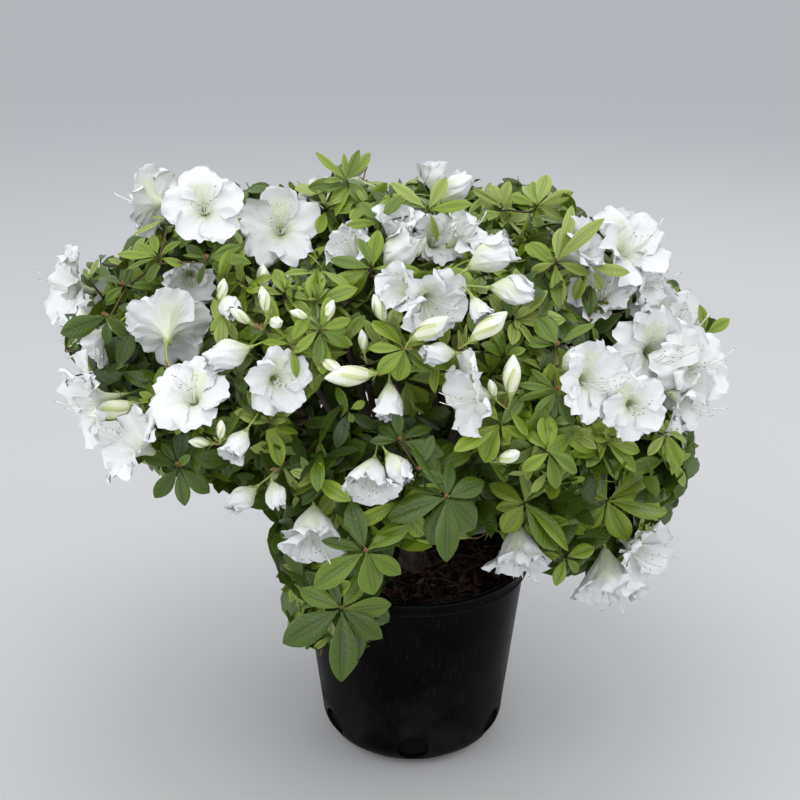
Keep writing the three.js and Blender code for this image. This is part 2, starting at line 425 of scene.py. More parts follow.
# The stem's top is the middle of its corners within capDepth of its highest one. A limb's widths are taken
# within ends of its length from either end, and its line has so many stations.
limbFit = {"capDepth": 2 * mm, "ends": 0.35, "stations": 9}
stemCorners = cornersOf("stem")
stemFoot = np.array([0.0, 0.0, stemCorners[:, 2].min()])
stemTop = stemCorners[stemCorners[:, 2] > stemCorners[:, 2].max() - limbFit["capDepth"]].mean(0)


def limbLine(name):
    # A limb's centreline: a parabola fitted through its corners along its longest direction, foot first
    corners = cornersOf(name)
    middle = corners.mean(0)
    along = (corners - middle) @ np.linalg.svd(corners - middle, full_matrices=False)[2][0]
    share = (along - along.min()) / np.ptp(along)
    terms = np.stack([np.ones_like(share), share, share ** 2], 1)
    fitted = np.linalg.lstsq(terms, corners, rcond=None)[0]
    t = np.linspace(0, 1, limbFit["stations"])[:, None]
    line = fitted[0] + fitted[1] * t + fitted[2] * t ** 2
    away = np.linalg.norm(corners - terms @ fitted, axis=1)
    width = [float(np.median(away[part])) for part in (share < limbFit["ends"], share > 1 - limbFit["ends"])]
    if np.linalg.norm(line[-1] - stemTop) < np.linalg.norm(line[0] - stemTop):
        return line[::-1], width[::-1]
    return line, width


def splined(points, count):
    # A smooth line of count points through a few points: Catmull-Rom pieces, even in their parameter
    ends = np.concatenate([[2 * points[0] - points[1]], points, [2 * points[-1] - points[-2]]])
    t = np.linspace(0, len(points) - 1 - 1e-9, count)
    i = t.astype(int)
    f = (t - i)[:, None]
    a, b, c, d = (ends[i + k] for k in range(4))
    square, cube = 2 * a - 5 * b + 4 * c - d, 3 * b - a - 3 * c + d
    return 0.5 * (2 * b + (c - a) * f + square * f ** 2 + cube * f ** 3)


# Trunk and boughs. The radius of a bough falls from its foot to its tip, kink is how far it wanders from its
# line, in two waves of the given counts, and intoMass how far it goes on towards the middle of its mass.

bark = {"rows": 64, "cols": 12, "relief": 0.5 * mm, "reliefScale": 420, "kink": 2.2 * mm, "waves": (11, 23),
        "rootAt": 0.9, "intoMass": 0.55, "footRadius": 2.4 * mm, "tipRadius": 1.5 * mm, "taper": 0.8}

limbs = {}
for name in limbNames:
    line, width = limbLine(name)
    limbs[name.removeprefix("bough_")] = {"line": line, "width": width}
for key, limb in limbs.items():
    foot = limb["line"][0]
    if key.startswith(("crest", "shoulder")):
        root = mix(stemFoot, stemTop, bark["rootAt"])
    else:
        others = np.concatenate([other["line"] for k, other in limbs.items() if k.startswith("shoulder")])
        root = others[np.linalg.norm(others - foot, axis=1).argmin()]
    inside = mix(limb["line"][-1], masses[key]["centre"], bark["intoMass"])
    stations = np.concatenate([[root], limb["line"][1:limbFit["stations"]:2], [limb["line"][-1], inside]])
    line = splined(stations, bark["rows"])
    share = np.linspace(0, 1, bark["rows"])[:, None]
    rng = np.random.default_rng(len(key) + sum(map(ord, key)))
    phase = rng.uniform(0, fullTurn, (2, 3))
    slow, quick = (np.sin(share * count + phase[k]) for k, count in enumerate(bark["waves"]))
    limb["line"] = line + bark["kink"] * (slow + 0.6 * quick) * ease(share, 0, 0.3)
    limb["radius"] = mix(max(limb["width"][0], bark["footRadius"]), bark["tipRadius"],
                         share[:, 0] ** bark["taper"])
    limb["heading"] = unit(np.gradient(limb["line"], axis=0))

woodPile = Pile()
keys = sorted(limbs)
boughLines = np.stack([limbs[key]["line"] for key in keys])
boughRadii = np.stack([limbs[key]["radius"] for key in keys])
rings = tubes(boughLines, boughRadii, bark["cols"])
outward = unit(rings - boughLines[:, :, None])
relief = (bark["relief"] * cloud(rings, 4, bark["reliefScale"]))[..., None]
rings += outward * relief * (boughRadii / (4 * mm))[:, :, None, None]
woodPile.add(rings, tubeFaces(bark["rows"], bark["cols"], len(keys)))

# The stem: its radius falls from the root flare to the fork, and ridges run up from the flare's lobes, each
# given as (height over the radius, count round the stem, phase). Its top is a low dome.
stem = {"rows": 40, "cols": 40, "above": 4 * mm, "radius": 10 * mm, "flare": 7 * mm,
        "lobes": ((0.18, 5, 1.0), (0.1, 3, 0.0)), "dome": 0.85, "domeFrom": 0.9,
        "relief": 0.8 * mm, "reliefScale": 300}
share = np.linspace(0, 1, stem["rows"])[:, None]
angle = circle(stem["cols"])[None]
stemLine = mix(stemFoot, stemTop + [0, 0, stem["above"]], share)
lobes = sum(size * np.cos(count * angle + phase) for size, count, phase in stem["lobes"])
stemRadius = (stem["radius"] + stem["flare"] * (1 - share) ** 3) * (1 + lobes * (1 - share) ** 1.5)
stemRadius = stemRadius * np.sqrt(1 - stem["dome"] * ease(share, stem["domeFrom"], 1.0))
stemRings = stemLine[:, None] + np.stack(
    [stemRadius * np.cos(angle), stemRadius * np.sin(angle), np.zeros_like(stemRadius)], -1)
relief = (stem["relief"] * cloud(stemRings, 9, stem["reliefScale"]))[..., None]
stemRings += unit(stemRings - stemLine[:, None]) * relief
stemRings[0, :, 2] = stemFoot[2]
woodPile.add(stemRings, tubeFaces(stem["rows"], stem["cols"]))

woodTints = {"furrow": (0.016, 0.009, 0.006), "ridge": (0.070, 0.043, 0.028), "patch": (0.085, 0.064, 0.048)}
woodLook = Look("bark", (0.07, 0.045, 0.03), 0.8)
streaks = woodLook.spots(woodLook.place(Scale=(1, 1, 0.35)), 260, 5)
patches = woodLook.spots(woodLook.place(), 60, 3)
colour = woodLook.blend(woodLook.ramp(streaks, 0.35, 0.65), woodTints["furrow"], woodTints["ridge"])
woodLook.colour(woodLook.blend(woodLook.ramp(patches, 0.52, 0.68), colour, woodTints["patch"]))
woodLook.bump(streaks, 0.5 * mm, 0.7)
makePiece("boughs", woodPile, [woodLook], ["stem"] + limbNames)


# Listed flowers, buds and leaf whorls. Each starts with the pixel of its middle in the photo. A way
# that one looks is (right, up, towards the camera), and near moves it from the crown's skin towards the
# camera, in millimetres. Widths and lengths are in pixels of the photo.

# Flowers: pixel, way it looks, width when fully open, openness from 0 to 1, near, and where they differ from
# the usual 0 and 1, how much it hangs as a bell and the length of its stamens
flowerPlaces = [
    ((152, 202), (-0.80, 0.18, -0.44), 74, 1.0, 2),
    ((206, 210), (0.10, 0.12, 0.98), 82, 0.98, 12),
    ((281, 230), (0.03, 0.14, 0.98), 86, 1.00, 12),
    ((66, 287), (-0.78, 0.10, 0.54), 88, 0.86, 6, 0, 1.05),
    ((86, 342), (-0.60, -0.44, 0.10), 68, 0.78, -14),
    ((172, 327), (-0.05, 0.54, -0.74), 92, 0.98, 14),
    ((88, 402), (-0.80, -0.18, 0.46), 104, 0.90, 12, 0, 0.9),
    ((134, 440), (-0.72, 0.46, 0.44), 96, 0.90, 12, 0, 1.15),
    ((192, 395), (-0.14, 0.42, 0.88), 84, 0.96, 8),
    ((279, 381), (0.32, -0.12, 0.90), 72, 0.84, 8),
    ((350, 246), (-0.35, 0.40, 0.60), 72, 0.60, -6),
    ((398, 228), (0.10, 0.66, 0.46), 70, 0.44, -2),
    ((438, 238), (0.30, 0.20, 0.75), 62, 0.74, -8),
    ((468, 228), (0.50, 0.40, 0.40), 66, 0.76, -16),
    ((403, 291), (-0.50, 0.10, 0.62), 68, 0.46, 14),
    ((434, 307), (0.42, -0.46, 0.66), 84, 0.80, 6),
    ((468, 397), (-0.88, -0.10, 0.42), 96, 0.90, 14, 0, 1.0),
    ((313, 536), (0.00, -0.78, 0.48), 88, 0.56, 4, 1.0),
    ((370, 480), (-0.15, -0.74, 0.52), 70, 0.54, 3, 1.0),
    ((519, 556), (0.04, -0.86, 0.34), 84, 0.60, 6, 0.8),
    ((607, 584), (0.04, -0.88, 0.34), 94, 0.62, 10, 0.8),
    ((643, 554), (0.52, -0.40, 0.66), 86, 0.76, 6),
    ((630, 246), (0.40, 0.34, 0.66), 94, 0.86, 6),
    ((650, 282), (0.66, -0.10, 0.50), 76, 0.78, -4),
    ((602, 292), (-0.05, 0.30, 0.85), 74, 0.84, -4),
    ((666, 320), (0.20, 0.34, 0.86), 80, 0.94, 4),
    ((652, 354), (0.30, -0.06, 0.92), 98, 0.96, 26, 0, 1.15),
    ((590, 381), (0.52, -0.05, 0.82), 88, 0.90, 18, 0, 1.2),
    ((629, 406), (0.18, -0.14, 0.96), 70, 0.96, 26),
    ((683, 334), (0.50, 0.34, 0.70), 68, 0.92, 2),
    ((690, 368), (0.42, 0.06, 0.82), 88, 0.94, 14),
    ((666, 386), (0.24, -0.20, 0.84), 58, 0.94, -8),
    ((688, 404), (0.58, -0.38, 0.52), 80, 0.80, 12),
    ((232, 355), (-0.86, -0.34, 0.40), 78, 0.18, 14),
    ((239, 443), (-0.40, -0.72, 0.50), 54, 0.26, 3),
    ((390, 400), (0.02, -0.95, 0.30), 60, 0.28, 12),
    ((244, 497), (-0.74, -0.60, 0.40), 60, 0.12, 6),
    ((277, 494), (0.30, -0.80, 0.45), 50, 0.20, 8),
    ((397, 467), (0.52, -0.74, 0.42), 62, 0.20, 7),
    ((399, 256), (0.48, 0.60, 0.42), 86, 0.20, 14),
    ((454, 190), (0.66, 0.62, 0.20), 66, 0.20, 6),
    ((434, 177), (-0.05, 0.95, 0.10), 52, 0.34, -6),
    ((489, 258), (0.74, 0.40, 0.34), 84, 0.27, 14),
    ((510, 291), (0.98, -0.12, 0.30), 78, 0.13, 14),
    ((477, 309), (0.36, -0.80, 0.34), 42, 0.32, 12),
    ((440, 354), (-0.95, -0.05, 0.36), 54, 0.20, 10),
    ((577, 250), (0.70, 0.28, 0.50), 78, 0.44, 2),
    ((572, 360), (0.55, 0.55, 0.40), 50, 0.25, 6),
    ((228, 305), (0.35, -0.50, 0.60), 52, 0.24, -8),
    ((185, 278), (0.10, -0.30, 0.70), 66, 0.60, -26),
]

# Buds: pixel, way it looks, length, near
budPlaces = [
    ((117, 410), (-0.96, -0.26, 0.30), 50, 16),
    ((202, 442), (-0.88, 0.10, 0.45), 25, 10),
    ((222, 430), (0.10, 0.90, 0.40), 23, 8),
    ((242, 317), (-0.72, 0.52, 0.40), 28, 8),
    ((265, 301), (-0.15, 0.92, 0.30), 30, 6),
    ((277, 323), (0.35, -0.10, 0.85), 30, 10),
    ((351, 376), (-0.97, -0.10, 0.30), 54, 14),
    ((429, 330), (0.80, 0.48, 0.40), 48, 20),
    ((487, 328), (0.74, 0.58, 0.32), 50, 14),
    ((380, 310), (-0.35, 0.85, 0.40), 34, 14),
    ((415, 250), (0.55, 0.50, 0.50), 36, 4),
    ((511, 377), (0.05, 0.97, 0.26), 46, 10),
    ((508, 456), (0.55, 0.30, 0.75), 34, 12),
    ((492, 389), (-0.30, 0.85, 0.40), 22, 8),
    ((222, 290), (0.20, 0.85, 0.40), 26, 0),
    ((331, 365), (0.82, -0.36, 0.40), 28, 6),
    ((329, 312), (0.36, 0.86, 0.30), 27, 4),
    ((300, 315), (-0.80, 0.30, 0.36), 22, 4),
    ((363, 341), (-0.10, 0.90, 0.30), 24, 4),
]

# Whorls: pixel, leaf tone from 0 for fresh to 3 for old, near, and the leaves, each by its tip's pixel and
# its width over its length
whorlPlaces = [
    ((342, 608), 2, 8, [(343, 679, 0.43), (285, 643, 0.42), (379, 641, 0.44), (393, 611, 0.38),
        (301, 590, 0.40), (364, 578, 0.46), (330, 582, 0.40)]),
    ((366, 550), 2, 12, [(311, 587, 0.40), (376, 596, 0.58), (407, 522, 0.42), (391, 529, 0.32),
        (349, 505, 0.46), (398, 574, 0.42), (328, 540, 0.36)]),
    ((446, 497), 3, 14, [(384, 514, 0.38), (429, 547, 0.46), (450, 561, 0.36), (482, 529, 0.60),
        (482, 480, 0.52), (418, 441, 0.44), (453, 462, 0.34), (400, 476, 0.34)]),
    ((523, 502), 1, 18, [(506, 532, 0.60), (562, 549, 0.48), (582, 540, 0.40), (546, 474, 0.52),
        (537, 446, 0.40), (498, 508, 0.42), (492, 482, 0.40)]),
    ((604, 499), 1, 22, [(560, 492, 0.44), (626, 541, 0.58), (674, 511, 0.36), (663, 468, 0.36),
        (583, 450, 0.44), (556, 470, 0.44), (590, 528, 0.40)]),
    ((500, 424), 1, 10, [(537, 418, 0.50), (481, 460, 0.56), (452, 447, 0.32), (528, 435, 0.44),
        (486, 404, 0.44), (515, 444, 0.42)]),
    ((548, 452), 1, 8, [(548, 416, 0.56), (566, 448, 0.46), (582, 470, 0.44), (524, 470, 0.44),
        (560, 486, 0.46), (532, 432, 0.44)]),
    ((405, 350), 1, 14, [(380, 317, 0.48), (398, 380, 0.62), (454, 362, 0.34), (372, 346, 0.36),
        (428, 332, 0.36), (376, 372, 0.40)]),
    ((406, 380), 1, 18, [(428, 408, 0.58), (452, 372, 0.36), (410, 420, 0.44)]),
    ((372, 270), 1, 14, [(378, 232, 0.40), (330, 256, 0.28), (420, 266, 0.24), (345, 300, 0.34),
        (362, 238, 0.34), (330, 284, 0.34)]),
    ((346, 180), 1, 0, [(319, 152, 0.28), (371, 150, 0.26), (358, 152, 0.30), (345, 154, 0.24),
        (324, 176, 0.34), (364, 178, 0.30)]),
    ((380, 222), 1, 4, [(361, 200, 0.44), (386, 194, 0.46), (397, 198, 0.44), (352, 224, 0.30)]),
    ((428, 210), 0, 2, [(395, 182, 0.28), (446, 177, 0.36), (478, 206, 0.24), (420, 240, 0.36),
        (403, 198, 0.30), (440, 236, 0.30)]),
    ((503, 206), 0, 0, [(491, 183, 0.40), (508, 181, 0.46), (474, 190, 0.28), (520, 190, 0.30),
        (516, 214, 0.38)]),
    ((538, 205), 0, 0, [(549, 172, 0.42), (526, 178, 0.30), (572, 193, 0.34), (566, 214, 0.34),
        (512, 196, 0.34), (534, 176, 0.36)]),
    ((556, 262), 0, 4, [(580, 210, 0.24), (598, 213, 0.22), (562, 222, 0.30), (530, 242, 0.40),
        (534, 270, 0.34), (592, 272, 0.28)]),
    ((588, 268), 0, 12, [(627, 270, 0.32), (604, 286, 0.44), (549, 270, 0.32), (576, 296, 0.40)]),
    ((590, 322), 2, 4, [(588, 290, 0.44), (610, 298, 0.46), (556, 310, 0.44), (600, 340, 0.44),
        (568, 336, 0.42)]),
    ((556, 346), 2, 10, [(540, 316, 0.58), (588, 320, 0.26), (570, 362, 0.34), (530, 340, 0.50)]),
    ((622, 312), 2, 12, [(624, 282, 0.50), (632, 300, 0.42)]),
    ((556, 390), 2, 8, [(532, 370, 0.22), (520, 384, 0.22), (523, 400, 0.24), (546, 414, 0.24),
        (538, 408, 0.24)]),
    ((704, 336), 1, 6, [(729, 319, 0.42), (719, 357, 0.42), (712, 338, 0.36), (700, 306, 0.36)]),
    ((664, 432), 0, 14, [(684, 418, 0.62), (682, 466, 0.40), (656, 420, 0.46), (650, 452, 0.36),
        (694, 436, 0.40)]),
    ((566, 558), 1, 2, [(594, 548, 0.50), (556, 584, 0.44), (580, 572, 0.50), (546, 556, 0.40)]),
    ((178, 466), 3, 4, [(152, 501, 0.36), (184, 501, 0.40), (207, 491, 0.42), (210, 462, 0.36),
        (163, 446, 0.36), (194, 446, 0.32), (140, 456, 0.34)]),
    ((124, 286), 2, 4, [(98, 270, 0.44), (104, 300, 0.40), (130, 268, 0.44), (150, 284, 0.38),
        (138, 306, 0.36)]),
    ((160, 258), 1, 10, [(122, 252, 0.26), (130, 266, 0.24), (150, 234, 0.36), (176, 236, 0.32),
        (180, 262, 0.40), (136, 242, 0.30)]),
    ((208, 260), 2, 10, [(236, 246, 0.34), (184, 252, 0.30), (196, 280, 0.30), (246, 258, 0.32),
        (226, 276, 0.34)]),
    ((88, 280), 0, 0, [(80, 264, 0.28), (96, 260, 0.26), (112, 276, 0.34)]),
    ((110, 318), 3, 22, [(64, 336, 0.44), (104, 340, 0.46), (128, 334, 0.40), (86, 318, 0.30)]),
    ((170, 222), 0, 22, [(132, 231, 0.20), (168, 206, 0.44), (150, 214, 0.24)]),
    ((320, 330), 1, 8, [(286, 318, 0.36), (296, 350, 0.34), (350, 344, 0.34), (330, 300, 0.34),
        (348, 318, 0.34), (318, 362, 0.36)]),
    ((290, 345), 1, 6, [(262, 338, 0.40), (306, 318, 0.40), (272, 366, 0.40), (300, 372, 0.34),
        (316, 352, 0.34)]),
    ((348, 410), 1, 2, [(336, 414, 0.60), (352, 420, 0.62), (362, 404, 0.50)]),
    ((400, 440), 3, 4, [(396, 410, 0.36), (430, 424, 0.36), (440, 452, 0.40), (372, 440, 0.36),
        (378, 424, 0.34)]),
    ((418, 470), 3, 6, [(404, 486, 0.40), (430, 438, 0.40), (444, 480, 0.40), (390, 462, 0.36)]),
]

# Places of the photo's outline where only flowers stand: middle and radius in pixels
flowerOnly = [(50, 300, 34), (54, 392, 40), (92, 444, 34), (704, 398, 26), (664, 236, 30), (150, 176, 34)]

# Places where the photo looks past fewer leaves into the crown's dark inside: middle and radius in pixels
hollows = [(325, 428, 32), (376, 436, 26), (300, 452, 22), (205, 290, 18), (340, 470, 20)]

# The outline of the leaves in the photo, clockwise from the left. Leaf tips stay near it or inside it.
crownOutline = np.array([
    (58, 330), (64, 272), (84, 256), (118, 248), (132, 228), (168, 202), (206, 190), (250, 181), (300, 184),
    (322, 180), (334, 166), (345, 160), (358, 166), (370, 184), (390, 184), (440, 172), (486, 181), (544, 176),
    (566, 198), (588, 218), (612, 240), (644, 256), (668, 268), (694, 296), (732, 314), (724, 360), (712, 384),
    (702, 420), (692, 468), (679, 514), (642, 548), (600, 580), (560, 590), (528, 562), (500, 548), (482, 536),
    (452, 564), (430, 550), (408, 536), (400, 577), (395, 616), (381, 646), (350, 682), (336, 680), (318, 652),
    (284, 646), (279, 612), (274, 585), (270, 548), (272, 520), (252, 500), (225, 494), (206, 482), (186, 486),
    (160, 486), (146, 472), (136, 458), (98, 440), (58, 410)], float)

# Rays that find the crown's skin near a pixel, as (pixels away from it, number), the share of them in
# percent that meets it nearer than the depth taken, and the distances looked at along a ray that misses
sight = {"rings": ((0, 1), (9, 6), (18, 8)), "nearer": 25, "steps": (0.9, 1.8, 0.01)}


def insideOutline(x, y):
    # Whether pixels lie inside the outline: a line to the right of one crosses it an odd number of times
    x0, y0 = crownOutline.T[:, :, None]
    x1, y1 = np.roll(crownOutline, -1, 0).T[:, :, None]
    spans = (y0 > y) != (y1 > y)
    crossing = x0 + (y - y0) * (x1 - x0) / np.where(y1 == y0, 1, y1 - y0)
    return (spans & (x < crossing)).sum(0) % 2 == 1


def skinDepth(px, py):
    # Distance along the view at which the crown's skin stands near a pixel, so that a hollow between masses
    # counts as filled
    found = []
    for radius, turns in sight["rings"]:
        for turn in range(turns):
            angle = fullTurn * turn / turns
            ray = pixelRay(px + radius * math.cos(angle), py + radius * math.sin(angle))
            hit = crownTree.ray_cast(Vector(eye), Vector(ray))
            if hit[0] is not None:
                found.append(float(-(np.array(hit[0]) - eye) @ camBack))
    return float(np.percentile(found, sight["nearer"])) if found else None


def onCrown(px, py):
    # The point at a pixel that stands on the crown's skin, or the one nearest to that line of sight
    ray = pixelRay(px, py)
    depth = skinDepth(px, py)
    if depth is not None:
        return eye - ray * depth / (ray @ camBack)
    steps = np.arange(*sight["steps"])
    gaps = [crownTree.find_nearest(Vector(eye + ray * step))[3] for step in steps]
    return eye + ray * steps[int(np.argmin(gaps))]


def metres(pixels, point):
    # The size that spans so many pixels at a point's distance
    return pixels * float(-(point - eye) @ camBack) / view["focalPixels"]


def beside(px, py, point):
    # The point seen at a pixel that is as far along the view as another point
    ray = pixelRay(px, py)
    return eye + ray * float(((point - eye) @ camBack) / (ray @ camBack))


def placed(at, near):
    # Where a listed thing stands
    return onCrown(*at) + camBack * near * mm


# Corolla, shared by open and half-open flowers. Angles are in degrees. Waves are given as size and counts,
# and the sizes of all reliefs are shares of the flower's width.

corolla = {
    # Rows and columns of a petal on the flowers that the photo shows and on the others
    "fine": (18, 19), "plain": (11, 11),
    # A petal's length over the flower's width, and the throat's radius
    "length": 0.65, "throat": 1.7 * mm,
    # Slope from the axis: the tube's, what a shut, an open and a bell-like flower add to it, and the limb's
    # when shut and when open, with what a bell adds and how far each petal differs
    "tube": 15, "shutTube": 19, "openTube": -4, "bellTube": 20,
    "limb": (-16.0, 76.0), "bellLimb": -14, "differ": 7, "shutLean": 37,
    # Outline: the half angle at its broadest and at its tip, how far the corners are cut back, and its waves
    "sectorWide": 50.0, "tipWide": 31.0, "corner": 0.15,
    "teeth": ((0.024, 7), (0.018, 17)), "sides": ((0.035, 12), (0.025, 25)),
    # Relief: how far the petals lap, open and more when shut, the rim's ruffles with their counts across and
    # along, the crumple, the middle groove, the cup and the curl of the tip (middle and spread of each)
    "lap": (0.024, 0.022), "ruffles": ((0.042, 5.5, 5), (0.030, 13, 9)), "crumple": 0.009,
    "groove": (0.016, 0.020), "cup": (0.014, 0.020), "curl": (-0.03, 0.045),
    # How far the petals of a shut flower are wound round its axis, in radians
    "wind": 1.1,
}
petalCount = 5
sector = math.pi / petalCount


def profileOf(openness, spread, bell=0.0):
    # Radius, height and slope along a petal of length 1. The slope away from the axis turns from the tube's
    # to the limb's, sooner on an open flower, and radius and height are the running sums of its sine and
    # cosine. A closed flower's limb leans inwards, so that it bulges like a bud, and a bell has a wide tube
    # and a steep limb.
    s = np.linspace(0, 1, 61)
    shut, wideOpen = 1 - ease(openness, 0.12, 0.50), ease(openness, 0.5, 0.9)
    tube = np.radians(corolla["tube"] + corolla["openTube"] * wideOpen
                      + corolla["shutTube"] * (1 - ease(openness, 0.15, 0.75)) + corolla["bellTube"] * bell)
    limb = np.radians(mix(*corolla["limb"], openness) + corolla["bellLimb"] * bell) + spread
    tube, limb, early = tube[..., None], limb[..., None], 0.09 * wideOpen[..., None]
    slope = tube + (limb - tube) * ease(s, 0.18 - early, 0.64 - early / 2)
    slope = slope - np.radians(corolla["shutLean"] * shut)[..., None] * ease(s, 0.45, 0.74)
    step = s[1] - s[0]
    radius = np.cumsum(np.sin(slope), -1) * step
    height = np.cumsum(np.cos(slope), -1) * step
    return s, radius, height, slope


def corollas(flowers, rng, rows, cols):
    # Petals of many flowers as an array (flower, petal, row, column, xyz), each flower on its own axes: z
    # out of its mouth and x to its upper petal. A petal is a sector of a funnel. Its outline is the sector's
    # half angle along its length, its rim is shortened at the corners, and waves run along its margins. Here
    # a runs along a petal from 0 to 1, and b across it from -1 to 1.
    count = len(flowers)
    petals = (count, petalCount)
    wide, openness, bell = (np.array([f[key] for f in flowers]) for key in ("wide", "open", "bell"))
    length = wide * corolla["length"]
    spread = rng.normal(0, math.radians(corolla["differ"]), petals) * openness[:, None]
    s, fullRadius, _, _ = profileOf(np.ones(1), np.zeros(1))
    _, radius, height, slope = profileOf(np.repeat(openness[:, None], petalCount, 1), spread, bell[:, None])
    along = np.sin(np.linspace(0, math.pi / 2, rows)) ** 1.15
    side = np.linspace(-1, 1, cols)
    side = np.sign(side) * np.abs(side) ** 0.82
    a, b = np.meshgrid(along, side, indexing="ij")
    phase = rng.uniform(0, fullTurn, (8, *petals, 1, 1))
    lively = (0.7 + 0.7 * rng.random(petals)) * mix(0.7, 1.0, ease(openness, 0.1, 0.6))[:, None]
    lively = lively[..., None, None]
    isOpen = openness[:, None, None, None]
    shut = 1 - ease(isOpen, 0.1, 0.5)
    limbPart = ease(a, 0.36, 0.75)
    margin = 1 - (1 - np.abs(b) ** 3.2) * (1 - a ** 6)

    def waves(kind, x, first):
        # The sum of sines of the given sizes and counts, each with its own phase
        pairs = enumerate(corolla[kind], first)
        return sum(size * np.sin(turns * x + phase[k]) for k, (size, turns) in pairs)

    cut = 1 - corolla["corner"] * np.abs(b) ** 2.6 * ease(a, 0.5, 1)
    reach = np.clip(a * cut + waves("teeth", b, 0) * ease(a, 0.7, 1), 0, 1)
    half = mix(sector, math.radians(corolla["sectorWide"]), ease(a, 0.34, 0.62))
    half = mix(half, math.radians(corolla["tipWide"]), ease(a, 0.78, 1.10))
    half = half * (1 + waves("sides", a, 2) * limbPart)
    scale = length[:, None, None, None]
    throat = corolla["throat"]
    place = reach * (len(s) - 1)
    low = np.minimum(place.astype(int), len(s) - 2)

    def pick(table):
        # The table's value at each place, from the two entries on its sides
        flat = low.reshape(*petals, -1)
        first, second = np.take_along_axis(table, flat, -1), np.take_along_axis(table, flat + 1, -1)
        return mix(first, second, (place - low).reshape(*petals, -1)).reshape(reach.shape)

    r, z, turn = pick(radius) * scale + throat, pick(height) * scale, pick(slope)
    fullR = np.interp(reach, s, fullRadius[0]) * scale + throat
    # Petals that stand closer to the axis than on an open flower cover more of the way round, and overlap
    half = np.minimum(half * fullR / np.maximum(r, throat), mix(1.5, 1.2, isOpen))
    half = np.maximum(half, sector * 1.1 * (1 - ease(a, 0.55, 0.80)))
    half = mix(sector * 1.06, half, ease(a, 0.26, 0.42))
    lap = (corolla["lap"][0] + corolla["lap"][1] * shut) * b * limbPart
    ruffle = sum(size * np.sin(sideways * b * a + lengthways * a + phase[4 + k])
                 for k, (size, sideways, lengthways) in enumerate(corolla["ruffles"]))
    crumple = corolla["crumple"] * np.sin(17 * a + 4 * b + phase[6]) * np.sin(11 * b - 6 * a + phase[7])
    groove = -(corolla["groove"][0] + corolla["groove"][1] * shut) * np.exp(-(b / 0.16) ** 2)
    groove = groove * ease(a, 0.15, 0.5) * (1 - ease(a, 0.85, 1))
    cup = (rng.normal(*corolla["cup"], petals))[..., None, None] * b ** 2 * limbPart
    curl = (rng.normal(*corolla["curl"], petals))[..., None, None] * ease(a, 0.65, 1) ** 2
    lift = lap + lively * ruffle * margin * limbPart + (groove + crumple * limbPart) + cup + curl
    lift = lift * wide[:, None, None, None]
    angle = (np.arange(petalCount) * 2 * sector)[None, :, None, None] - b * half
    angle = angle + (rng.normal(0, 0.06, petals))[..., None, None] * limbPart
    angle = angle + (1 - isOpen) * corolla["wind"] * a
    r, z = r - lift * np.cos(turn), z + lift * np.sin(turn)
    return np.stack([r * np.cos(angle), r * np.sin(angle), z], -1), height[:, :, -1].mean(1) * length


def axesOf(facing, roll):
    # Matrices whose columns are a flower's axes: x towards its upper side, turned by roll, and z the way it
    # faces. One that faces nearly up or down takes the camera's upright instead of Z.
    top = up - (facing @ up)[:, None] * facing
    steady = np.linalg.norm(top, axis=1) > 0.35
    top = unit(np.where(steady[:, None], top, camUp - (facing @ camUp)[:, None] * facing))
    sideways = np.cross(facing, top)
    x = np.cos(roll)[:, None] * top + np.sin(roll)[:, None] * sideways
    return np.stack([x, np.cross(facing, x), facing], -1)


rng = np.random.default_rng(41)


def placedFlower(at, face, wide, openness, near, bell=0.0, threads=1.0):
    centre = placed(at, near)
    return {"centre": centre, "face": fromView(face), "wide": metres(wide, centre), "open": openness,
            "roll": rng.normal(0, 0.2), "placed": True, "bell": bell, "threads": threads}


def placedBud(at, face, long, near):
    centre = placed(at, near)
    return {"centre": centre, "face": fromView(face), "long": metres(long, centre), "placed": True}


flowers = [placedFlower(*spot) for spot in flowerPlaces]
buds = [placedBud(*spot) for spot in budPlaces]
print("placed", len(flowers), "flowers and", len(buds), "buds")


# Twigs. Lengths and places of new twigs, with two of the costs that choose where one leaves.

growth = {
    # Shoots on the skin of a mass and inside it: how many, fewer on the low masses by skirtLess, and how far
    # apart
    "perMass": 26, "skirtLess": 8, "inner": 9, "spacing": 27 * mm, "apart": 22 * mm,
    "innerDepth": (30 * mm, 70 * mm), "depthShares": (0.3, 0.6), "behindBloom": 30 * mm,
    # A twig's mesh, its radius at the tip and the power of its load by which it thickens
    "rows": 8, "cols": 5, "tipRadius": 0.68 * mm, "thicken": 0.36,
    # Where a twig leaves: what running ahead and facing the target save, and the nearest distance
    "ahead": 0.45, "entering": 0.35, "nearest": 7 * mm, "aim": 0.9, "pull": 0.36, "limbFrom": 0.45,
    # Leaf lengths low down and high up, how far tips may stand out of the skin, and their margins in pixels
    # at the outline, towards a pixel in the crown's middle or away from it
    "lowLeaf": 56 * mm, "highLeaf": 37 * mm, "tipOut": 9 * mm, "margins": (-7, 12), "middlePixel": (385, 330),
}


